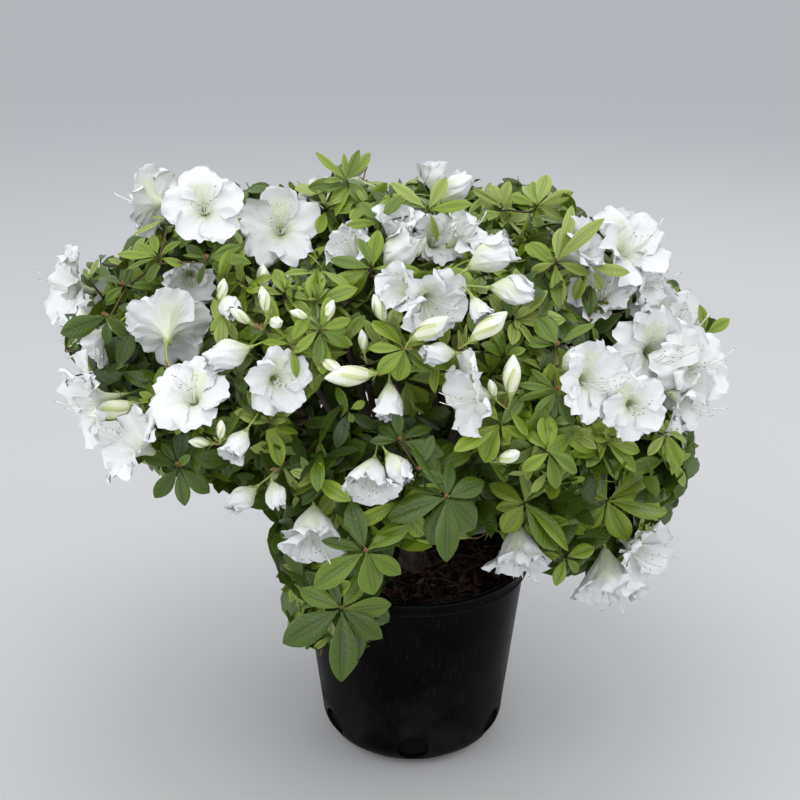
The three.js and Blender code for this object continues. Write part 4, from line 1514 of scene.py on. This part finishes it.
def frecklesOn(upper, facing, rng):
    # Small diamonds just above the upper petals, in a patch that widens outwards. upper is an array (flower,
    # row, column, xyz).
    count, rows, cols = upper.shape[:3]
    i = rng.uniform(*freckle["rows"], (count, freckle["count"])) * (rows - 1)
    j = 0.5 + (rng.uniform(*freckle["cols"], i.shape) - 0.5) * (0.4 + 1.2 * (i / rows))
    j = np.clip(j, 0.2, 0.8) * (cols - 1)
    flower = np.arange(count)[:, None]

    def at(i, j):
        # The petal's point between four corners of its grid
        low, left = i.astype(int), j.astype(int)
        di, dj = (i - low)[..., None], (j - left)[..., None]
        return mix(mix(upper[flower, low, left], upper[flower, low + 1, left], di),
                   mix(upper[flower, low, left + 1], upper[flower, low + 1, left + 1], di), dj)

    along, sideways = unit(at(i + 0.2, j) - at(i - 0.2, j)), unit(at(i, j + 0.2) - at(i, j - 0.2))
    normal = unit(np.cross(sideways, along))
    normal = normal * np.sign((normal * facing[:, None]).sum(-1, keepdims=True))
    size = rng.uniform(0.5, 1.3, i.shape)[..., None]
    middle = at(i, j) + normal * freckle["above"]
    long, wide = along * freckle["long"], sideways * freckle["wide"]
    return np.stack([middle + step * size for step in (-long, wide, long, -wide)], 2)


rng = np.random.default_rng(20)
freckleCorners = []
for blossom in blossoms:
    points, facing, openness = blossom["points"], blossom["facing"], blossom["open"]
    count, rows, cols = len(points), *points.shape[2:4]
    u, v = np.meshgrid(np.linspace(0, 1, cols), np.linspace(0, 1, rows))
    uv = np.broadcast_to(np.stack([u, v], -1), points.shape[:-1] + (2,))
    # Tint of each face of a petal: by its row, and on the upper petal by its column too
    rowShare, off = faceShares(rows, cols)
    plainTint = np.digitize(-rowShare + 0 * off, (-0.40, -0.27, -0.15))
    upperTint = np.digitize(-rowShare - 0.45 * np.maximum(off - 0.25, 0), (-0.66, -0.52, -0.24))
    tints = np.stack([upperTint] + [plainTint] * (petalCount - 1)).ravel()
    pile = Pile()
    pile.add(points, gridFaces(rows, cols, petalCount * count), uv, np.tile(tints, count))
    makePiece(blossom["name"], pile, petalLooks)
    wideOpen = openness > 0.55
    freckleCorners.append(frecklesOn(points[wideOpen, 0], facing[wideOpen], rng).reshape(-1, 3))

corners = np.concatenate(freckleCorners)
pile = Pile()
pile.add(corners, np.arange(len(corners)).reshape(-1, 4))
makePiece("freckles", pile, [Look("freckle", (0.26, 0.28, 0.09), 0.7)], flat=True)

# Stamens and pistil: each leaves the throat, runs out along the lower side of the mouth and curves up at its
# end. Lengths are shares of the flower's width, and angles are in radians. wide is how much thicker the
# pistil is, and the grains at the ends are given by radius and length.
stamen = {"count": 7, "rows": 8, "cols": 3, "radius": 0.47 * mm, "wide": 1.4, "long": 0.57,
          "vary": (0.72, 1.12), "pistilLong": 0.70, "apart": 0.30, "stray": 0.12, "lean": 0.16,
          "pistilLean": 0.10, "openLean": 0.16, "leanStray": 0.05, "curve": 0.26, "from": 0.5,
          "anther": (0.52 * mm, 1.9 * mm), "stigma": (0.85 * mm, 1.6 * mm), "grain": (4, 4)}
threads = []
s = np.linspace(0, 1, stamen["rows"])
for flower in flowers:
    if flower["open"] < stamen["from"]:
        continue
    for k in range(stamen["count"] + 1):
        isPistil = k == stamen["count"]
        long = flower["wide"] * flower["threads"]
        long *= stamen["pistilLong"] if isPistil else stamen["long"] * rng.uniform(*stamen["vary"])
        angle = math.pi + (k - stamen["count"] // 2) * stamen["apart"] + rng.normal(0, stamen["stray"])
        lean = stamen["pistilLean" if isPistil else "lean"] + rng.normal(0, stamen["leanStray"])
        lean += stamen["openLean"] * flower["open"]
        out = np.sin(lean) * s * long + 1.0 * mm
        z = (0.10 + 0.95 * s) * long + 3 * mm
        rise = stamen["curve"] * long * s ** 3
        local = np.stack([out * np.cos(angle) + rise, out * np.sin(angle), z], -1)
        threads.append((isPistil, local @ flower["turn"].T + flower["base"]))


def addGrains(pile, places, headings, radius, long, look):
    # Small closed ovals: radius sin(pi s) round a short line along each heading, with a narrow flat cap at
    # each end
    rows, cols = stamen["grain"]
    s = np.linspace(0.06, 0.94, rows)
    lines = places[:, None] + headings[:, None] * ((s - 0.5) * long)[None, :, None]
    pile.addTubes(lines, np.broadcast_to(radius * np.sin(math.pi * s) ** 0.8, lines.shape[:2]), cols, look)


isPistil = np.array([pistil for pistil, _ in threads])
lines = np.array([line for _, line in threads])
radii = np.repeat((stamen["radius"] * np.where(isPistil, stamen["wide"], 1.0))[:, None], stamen["rows"], 1)
threadPile = Pile()
threadPile.addTubes(lines, radii, stamen["cols"])
makePiece("filaments", threadPile, [Look("filament", (0.88, 0.89, 0.84), 0.5)])
ends, headings = lines[:, -1], unit(lines[:, -1] - lines[:, -2])
antherSide = unit(np.cross(headings[~isPistil], up) + 1e-6)
antherPile = Pile()
addGrains(antherPile, ends[~isPistil], antherSide, *stamen["anther"], 0)
addGrains(antherPile, ends[isPistil], headings[isPistil], *stamen["stigma"], 1)
antherLooks = [Look("anther", (0.26, 0.18, 0.11), 0.7), Look("stigma", (0.52, 0.46, 0.26), 0.5)]
makePiece("anthers", antherPile, antherLooks)

# Buds: five petals rolled round each other into a turned spindle. Each petal is a strip that wraps part of
# the way round, its radius grows from its tucked edge to its free edge, and the whole turns with height.
# wide is over the bud's length, wrap half the strip's angle in degrees, and turn the spindle's twist in
# radians.
budShape = {"rows": 12, "cols": 7, "wide": 0.175, "wrap": 66.0, "turn": 1.7}
budTints = [("budWhite", (0.85, 0.87, 0.80)), ("budCream", (0.80, 0.82, 0.62)),
            ("budStreak", (0.64, 0.69, 0.33)), ("budFoot", (0.50, 0.58, 0.20))]


def budPetals(chosen, rng):
    # Petals of many buds as an array (bud, petal, row, column, xyz). s runs along a petal and t across it.
    rows, cols = budShape["rows"], budShape["cols"]
    s = np.linspace(0, 1, rows)[None, None, :, None]
    t = np.linspace(-1, 1, cols)[None, None, None]
    k = np.arange(petalCount)[None, :, None, None]
    long = np.array([b["long"] for b in chosen])[:, None, None, None]
    slack = rng.uniform(0.0, 1.0, (len(chosen), 1, 1, 1))
    phase = rng.uniform(0, anyPhase, (len(chosen), petalCount, 1, 1))
    envelope = np.sin(math.pi * (0.05 + 0.945 * s) ** 1.2) ** 0.9 + 0.05 * slack * ease(s, 0.8, 1.0)
    swell = 1 + 0.20 * t + 0.08 * np.exp(-(t / 0.28) ** 2) + 0.07 * np.sin(5 * s + 3 * t + phase)
    radius = budShape["wide"] * long * envelope * swell + 0.2 * mm
    angle = k * fullTurn / petalCount + t * math.radians(budShape["wrap"]) + budShape["turn"] * s
    tip = 1 - (0.05 + 0.04 * np.sin(phase)) * t ** 2 * ease(s, 0.7, 1)
    height = long * (s * tip - 0.5)
    return np.stack(np.broadcast_arrays(radius * np.cos(angle), radius * np.sin(angle), height), -1)


rng = np.random.default_rng(23)
budPoints = budPetals(buds, rng)
budTurns = axesOf(np.array([b["face"] for b in buds]), rng.uniform(0, anyPhase, len(buds)))
budPoints = np.einsum("bij,bkrcj->bkrci", budTurns, budPoints)
budPoints += np.array([b["centre"] for b in buds])[:, None, None, None]
for bud in buds:
    bud["base"] = bud["centre"] - bud["face"] * bud["long"] * 0.49
rows, cols = budShape["rows"], budShape["cols"]
# A streak runs up each petal's middle and fades near the tip, and the foot is green
rowShare, off = faceShares(rows, cols)
budTint = np.where(off < 0.4, 2, np.where(rowShare > 0.62, 0, 1))
budTint = np.where((off < 0.4) & (rowShare > 0.75), 1, budTint)
budTint = np.where(rowShare < 0.14, 3, budTint)
budPile = Pile()
count = petalCount * len(buds)
budPile.add(budPoints, gridFaces(rows, cols, count), look=np.tile(budTint.ravel(), count))
budLooks = []
for name, colour in budTints:
    look = Look(name, colour, 0.55)
    look.grit(500, 3, 0.25 * mm, 0.4)
    budLooks.append(look)
makePiece("buds", budPile, budLooks)

# Calyx, stalk and papery scales of each flower and bud. flare is how much wider a stalk is under the calyx,
# sepal and scale are lengths, and into is how far inside its whorl a stalk starts.
stalk = {"rows": 9, "cols": 5, "radius": 0.8 * mm, "flare": 1.4 * mm, "sepal": 6.5 * mm, "scale": 8.5 * mm,
         "into": 2 * mm, "leave": 0.35, "enter": 0.4}
stalkLines = []
t = np.linspace(0, 1, stalk["rows"])[:, None]
for item in flowers + buds:
    start, end = item["shoot"]["at"] - item["shoot"]["face"] * stalk["into"], item["base"]
    gap = end - start
    d = np.linalg.norm(gap)
    one = start + unit(item["shoot"]["face"] + gap / d) * d * stalk["leave"]
    stalkLines.append(bezier(start, one, end - item["face"] * d * stalk["enter"], end, t))
stalkPile = Pile()
radii = np.tile(stalk["radius"] + stalk["flare"] * ease(t[:, 0], 0.86, 1.0), (len(stalkLines), 1))
stalkPile.addTubes(np.array(stalkLines), radii, stalk["cols"])
sepals, scales = [], []
rng = np.random.default_rng(31)
for line in stalkLines:
    heading = unit(line[-1] - line[-2])
    first, second = across(heading)
    for k in range(petalCount):
        angle = k * fullTurn / petalCount + rng.uniform(-0.2, 0.2)
        radial = first * math.cos(angle) + second * math.sin(angle)
        sepals.append(leafAt(line[-1] + radial * 1.4 * mm - heading * 1 * mm, heading + 0.55 * radial,
                             radial - 0.55 * heading, stalk["sepal"], rng, wide=0.40, bend=-0.4))
    low = unit(line[1] - line[0])
    for k in range(int(rng.integers(1, 4))):
        along, top = around(low, rng.uniform(0, anyPhase), math.radians(rng.uniform(15, 70)))
        scales.append(leafAt(line[0] + low * 2 * mm, along, top, stalk["scale"] * rng.uniform(0.6, 1.1), rng,
                             wide=0.45, bend=-0.5))
# The older placed whorls have a resting bud of four scales in their middle
for shoot in shoots:
    if shoot["kind"] == "placed" and shoot["tone"] > 1:
        for k in range(4):
            along, top = around(unit(camBack + 0.7 * up), k * math.pi / 2, math.radians(rng.uniform(4, 14)))
            scales.append(leafAt(shoot["at"], along, top, stalk["scale"] * rng.uniform(0.5, 0.7), rng,
                                 wide=0.60, bend=0.5))
addLeaves(stalkPile, sepals, leafShapes["scale"], 0)
addLeaves(stalkPile, scales, leafShapes["scale"], 1)
stalkLooks = [Look("stalk", (0.36, 0.45, 0.12), 0.55), Look("budScale", (0.34, 0.19, 0.08), 0.6)]
makePiece("stalks", stalkPile, stalkLooks)


# Pot. Radii of the rim and of the foot, heights, and the number of places round it. bandOut is how far the
# rim's band stands out, round the radius of the corner at the foot, and egg how far the rim is from a
# circle. The band's outline is in millimetres, outwards from the wall and up from the band's lower edge.

potShape = {"rim": 118 * mm, "foot": 92 * mm, "high": 204 * mm, "wall": 2.4 * mm, "floor": 3 * mm,
            "band": 13 * mm, "bandOut": 2.5 * mm, "round": 30 * mm, "cols": 180, "axis": 2 * mm, "egg": 0.004}
rimBand = [(0.2, 0.0), (1.7, 0.2), (2.4, 0.8), (2.5, 1.6), (2.3, 2.3), (1.8, 3.0), (1.7, 4.0), (1.7, 8.0),
           (1.9, 9.4), (2.4, 10.4), (2.5, 11.4), (2.2, 12.4), (1.5, 13.0), (0.4, 13.1), (-0.9, 12.9),
           (-1.9, 12.3)]
potHoles = {"count": 6, "radius": 16 * mm, "height": 25 * mm, "depth": 20 * mm, "sides": 40,
            "notchTurn": 26, "notchOut": 79 * mm, "notch": (18 * mm, 18 * mm, 20 * mm), "sharp": 40}


def lathe(profile, cols):
    # A profile of (radius, height) turned round the Z axis, as rings of cols points
    profile = np.array(profile)
    angle = circle(cols)
    r, z = profile[:, 0][:, None], profile[:, 1][:, None]
    return np.stack(np.broadcast_arrays(r * np.cos(angle), r * np.sin(angle), z), -1)


def potWall(z):
    # Outer radius of the pot's wall at a height
    spread = potShape["rim"] - potShape["bandOut"] - potShape["foot"]
    return potShape["foot"] + spread * z / potShape["high"]


def footCurve(inset, turns):
    # The rounded corner at the foot, so far inside the outer skin
    top, bow = potShape["round"], potShape["round"] - inset
    return [(potWall(top) - inset - bow * (1 - math.sin(a)), top - bow * math.cos(a)) for a in turns]


high, band, rim, wall = potShape["high"], potShape["band"], potShape["rim"], potShape["wall"]
quarter = math.pi / 2
outer = [(r, 0.0) for r in np.linspace(potShape["axis"], footCurve(0, [0])[0][0] - 1 * mm, 8)]
outer += footCurve(0, np.linspace(0, quarter, 12))
outer += [(potWall(z), z) for z in np.linspace(35 * mm, high - band - 0.6 * mm, 30)]
outer += [(rim - potShape["bandOut"] + x * mm, high - band + y * mm) for x, y in rimBand]
inner = [(potWall(z) - wall, z) for z in np.linspace(high - 3 * mm, 36 * mm, 20)]
inner += footCurve(potShape["floor"], np.linspace(quarter, 0, 9)) + [(potShape["axis"], potShape["floor"])]
potRings = lathe(outer + inner, potShape["cols"])
angles = np.arctan2(potRings[..., 1], potRings[..., 0])
egg = 1 + potShape["egg"] * np.cos(2 * angles + 0.6) * potRings[..., 2] / high
potRings[..., :2] *= egg[..., None]
potPile = Pile()
potPile.add(potRings, tubeFaces(len(potRings), potShape["cols"]))

# Black plastic that is dusty low down and worn in scratches and scuffs, with a painted highlight along the
# two beads of the band
potSkin = {"clean": (0.0010, 0.0010, 0.0012), "dusty": (0.012, 0.0115, 0.011), "shine": 0.035,
           "roughness": (0.30, 0.62), "beads": (192.3 * mm, 202.0 * mm), "beadWide": 1.0 * mm}
potLook = Look("potPlastic", (0.012, 0.012, 0.013), 0.42, potSkin["shine"])
height = potLook.split(potLook.place())[2]
scratches = potLook.spots(potLook.place(Scale=(1, 1, 0.05)), 560, 6)
scuffs = potLook.spots(potLook.place(Scale=(0.25, 0.25, 1)), 420, 5)
blotches = potLook.spots(potLook.place(), 22, 6)
dusty = potLook.times(potLook.ramp(height, 0.0, 0.15, 1, 0.1), potLook.ramp(blotches, 0.36, 0.66))
worn = potLook.times(potLook.ramp(scratches, 0.53, 0.72), potLook.ramp(blotches, 0.30, 0.62, 0.25, 0.9))
worn = potLook.math("MAXIMUM", worn, potLook.times(potLook.ramp(scuffs, 0.66, 0.78), 0.5))
dusty = potLook.math("MAXIMUM", dusty, worn)
# Painted highlight: a thin pale line at the height of each bead of the band
for bead in potSkin["beads"]:
    gap = potLook.math("ABSOLUTE", potLook.math("SUBTRACT", height, bead))
    line = potLook.times(potLook.ramp(gap, 0.0, potSkin["beadWide"], 1, 0), 0.9)
    dusty = potLook.math("MAXIMUM", dusty, line)
potLook.colour(potLook.blend(dusty, potSkin["clean"], potSkin["dusty"]))
potLook.rough(potLook.ramp(dusty, 0, 1, *potSkin["roughness"]))
potLook.bump(potLook.math("ADD", scratches, potLook.times(blotches, 0.5)), 0.3 * mm, 0.4)
pot = makePiece("potShell", potPile, [potLook], ["pot"])

# Drain holes through the wall and a notch through the corner beside each, cut by one closed cutter
cutPile = Pile()
for i in range(potHoles["count"]):
    turn = fullTurn / potHoles["count"] * (i + 0.5)
    out = np.array([math.cos(turn), math.sin(turn), 0])
    middle = out * potShape["foot"] + up * potHoles["height"]
    line = middle + np.array([-1, -0.3, 0.3, 1])[:, None] * out * potHoles["depth"] / 2
    cutPile.addTubes(line[None], np.full((1, len(line)), potHoles["radius"]), potHoles["sides"])
    turn += math.radians(potHoles["notchTurn"])
    out = np.array([math.cos(turn), math.sin(turn), 0])
    side = np.cross(up, out)
    deep, wide, tall = (size / 2 for size in potHoles["notch"])
    ring = np.array([out * deep * x + side * wide * y for x, y in ((-1, -1), (1, -1), (1, 1), (-1, 1))])
    box = out * potHoles["notchOut"] + ring[None] + up * np.array([-tall, tall])[:, None, None]
    cutPile.add(box, tubeFaces(2, 4))
cutMesh = bpy.data.meshes.new("cutter")
cutMesh.from_pydata(np.concatenate(cutPile.points).tolist(), [],
                    [face.tolist() for part in cutPile.faces for face in part])
cutter = addObject("cutter", cutMesh)
cutting = pot.modifiers.new("holes", "BOOLEAN")
cutting.object = cutter
cutting.operation = "DIFFERENCE"
cutting.solver = "EXACT"
whole = pot.data
pot.data = bpy.data.meshes.new_from_object(pot.evaluated_get(bpy.context.evaluated_depsgraph_get()))
pot.data.name = "potShell"
pot.modifiers.clear()
bpy.data.meshes.remove(whole)
bpy.data.objects.remove(cutter)
bpy.data.meshes.remove(cutMesh)
pot.data.set_sharp_from_angle(angle=math.radians(potHoles["sharp"]))
print("holes cut,", len(pot.data.polygons), "faces")


# Compost: a disc with a low mound and waves, on a body that fills the pot, with bark chips and rootlets on
# it. clear is its distance from the pot's wall, deep the heights of the body's rings, and the patches are
# the noise of the surface, by height, seed, scale and octaves.

compost = {"rings": 40, "cols": 110, "level": 180 * mm, "chips": 900, "rootlets": 44, "clear": 0.4 * mm,
           "mound": 5 * mm, "patches": (3.2 * mm, 3, 90, 4), "deep": (150 * mm, 90 * mm, 40 * mm)}
radius = potWall(compost["level"]) - wall - compost["clear"]


def soilHeight(x, y):
    # The height of the compost's surface at places
    share = np.hypot(x, y) / radius
    size, *noise = compost["patches"]
    patches = size * cloud(np.stack([x, y, 0 * x], -1), *noise) * ease(share, 0.1, 0.3)
    return compost["level"] + compost["mound"] * (1 - share) + patches


def scattered(count, low, high, rng):
    # Places spread evenly over the compost, between two shares of its area
    spread = radius * np.sqrt(rng.uniform(low, high, count))
    turn = rng.uniform(0, fullTurn, count)
    return spread * np.cos(turn), spread * np.sin(turn)


soil = lathe([(radius * s, 0.0) for s in np.linspace(0.02, 1, compost["rings"])], compost["cols"])
soil[..., 2] = soilHeight(soil[..., 0], soil[..., 1])
floorAt = potShape["floor"] + 1 * mm
sunk = [(potWall(z) - potShape["floor"] - 0.6 * mm, z) for z in compost["deep"]]
sunk += footCurve(floorAt, np.linspace(quarter, 0, 6)) + [(potShape["axis"], floorAt)]
soilRings = np.concatenate([soil, lathe(sunk, compost["cols"])])[::-1]
soilPile = Pile()
soilPile.add(soilRings, tubeFaces(len(soilRings), compost["cols"]))
# deep is a near-black tint: painted shade on the compost below its surface, inside the pot
soilTints = {"deep": (0.003, 0.002, 0.0015), "dark": (0.004, 0.0025, 0.002), "crumb": (0.026, 0.013, 0.009)}
soilLook = Look("compost", (0.03, 0.017, 0.011), 0.95, 0.1)
crumbs = soilLook.spots(soilLook.place(), 240, 8)
colour = soilLook.blend(soilLook.ramp(crumbs, 0.4, 0.68), soilTints["dark"], soilTints["crumb"])
height = soilLook.split(soilLook.place())[2]
# Painted shade: below the surface, in the pot, the compost turns to the deep tint
soilLook.colour(soilLook.blend(soilLook.ramp(height, 0.10, 0.17), soilTints["deep"], colour))
soilLook.bump(crumbs, 2.5 * mm, 1.0)
makePiece("compostBed", soilPile, [soilLook], ["root_ball"])

# Bark chips: short flattened tubes, half lengths and girths in millimetres, in four tones with their shares
chip = {"rows": 5, "cols": 6, "half": (2.5, 9), "girth": (0.8, 2.6), "flat": 0.55, "rough": 0.28 * mm,
        "shares": (0.4, 0.25, 0.25, 0.1),
        "tones": [(0.034, 0.015, 0.010), (0.075, 0.032, 0.019), (0.016, 0.009, 0.006), (0.105, 0.058, 0.037)]}
rng = np.random.default_rng(61)
count = compost["chips"]
x, y = scattered(count, 0.01, 0.93, rng)
chipAt = np.stack([x, y, soilHeight(x, y) + rng.uniform(0, 2.2, count) * mm], -1)
chipLong = unit(np.stack([rng.normal(size=count), rng.normal(size=count), rng.normal(0, 0.35, count)], -1))
s = np.linspace(-1, 1, chip["rows"])[None, :, None]
lines = chipAt[:, None] + chipLong[:, None] * (s * rng.uniform(*chip["half"], count)[:, None, None] * mm)
girth = rng.uniform(*chip["girth"], count)[:, None] * mm * (1 - 0.45 * s[..., 0] ** 4)
chips = tubes(lines, girth * rng.uniform(0.75, 1.2, (count, chip["rows"])), chip["cols"])
out = chips - lines[:, :, None]
thin = across(chipLong)[1][:, None, None]
chips = lines[:, :, None] + out - chip["flat"] * (out * thin).sum(-1, keepdims=True) * thin
chips += rng.normal(0, chip["rough"], chips.shape)
deal = rng.choice(len(chip["tones"]), count, p=chip["shares"])
chipPile = Pile()
chipLooks = []
for index, colour in enumerate(chip["tones"]):
    chosen = chips[deal == index]
    chipPile.add(chosen, tubeFaces(chip["rows"], chip["cols"], len(chosen)), look=index)
    look = Look(f"chip{index}", colour, 0.85, 0.2)
    look.grit(700, 4, 0.4 * mm, 0.8)
    chipLooks.append(look)
makePiece("barkChips", chipPile, chipLooks, flat=True)

# Rootlets: thin lines that bow sideways over the surface. Half lengths, bow and rise are in millimetres.
rootlet = {"rows": 9, "cols": 5, "radius": 0.42 * mm, "half": (8, 26), "bow": 5, "rise": (0, 7),
           "above": 2.5 * mm, "inside": 0.95}
count = compost["rootlets"]
x, y = scattered(count, 0.02, 0.85, rng)
t = np.linspace(-1, 1, rootlet["rows"])[None]
swing = rng.uniform(0, fullTurn, count)[:, None]
reachOut = rng.uniform(*rootlet["half"], count)[:, None] * mm
bow = rng.normal(0, rootlet["bow"], count)[:, None] * mm
rx = x[:, None] + t * reachOut * np.cos(swing) - bow * t ** 2 * np.sin(swing)
ry = y[:, None] + t * reachOut * np.sin(swing) + bow * t ** 2 * np.cos(swing)
inside = np.minimum(1, rootlet["inside"] * radius / np.hypot(rx, ry))
rx, ry = rx * inside, ry * inside
lift = (1 - t ** 2) * rng.uniform(*rootlet["rise"], count)[:, None] * mm
rootLines = np.stack([rx, ry, soilHeight(rx, ry) + rootlet["above"] + lift], -1)
rootPile = Pile()
rootPile.addTubes(rootLines, np.full(rx.shape, rootlet["radius"]), rootlet["cols"])
makePiece("rootlets", rootPile, [Look("rootlet", (0.085, 0.050, 0.028), 0.85)])
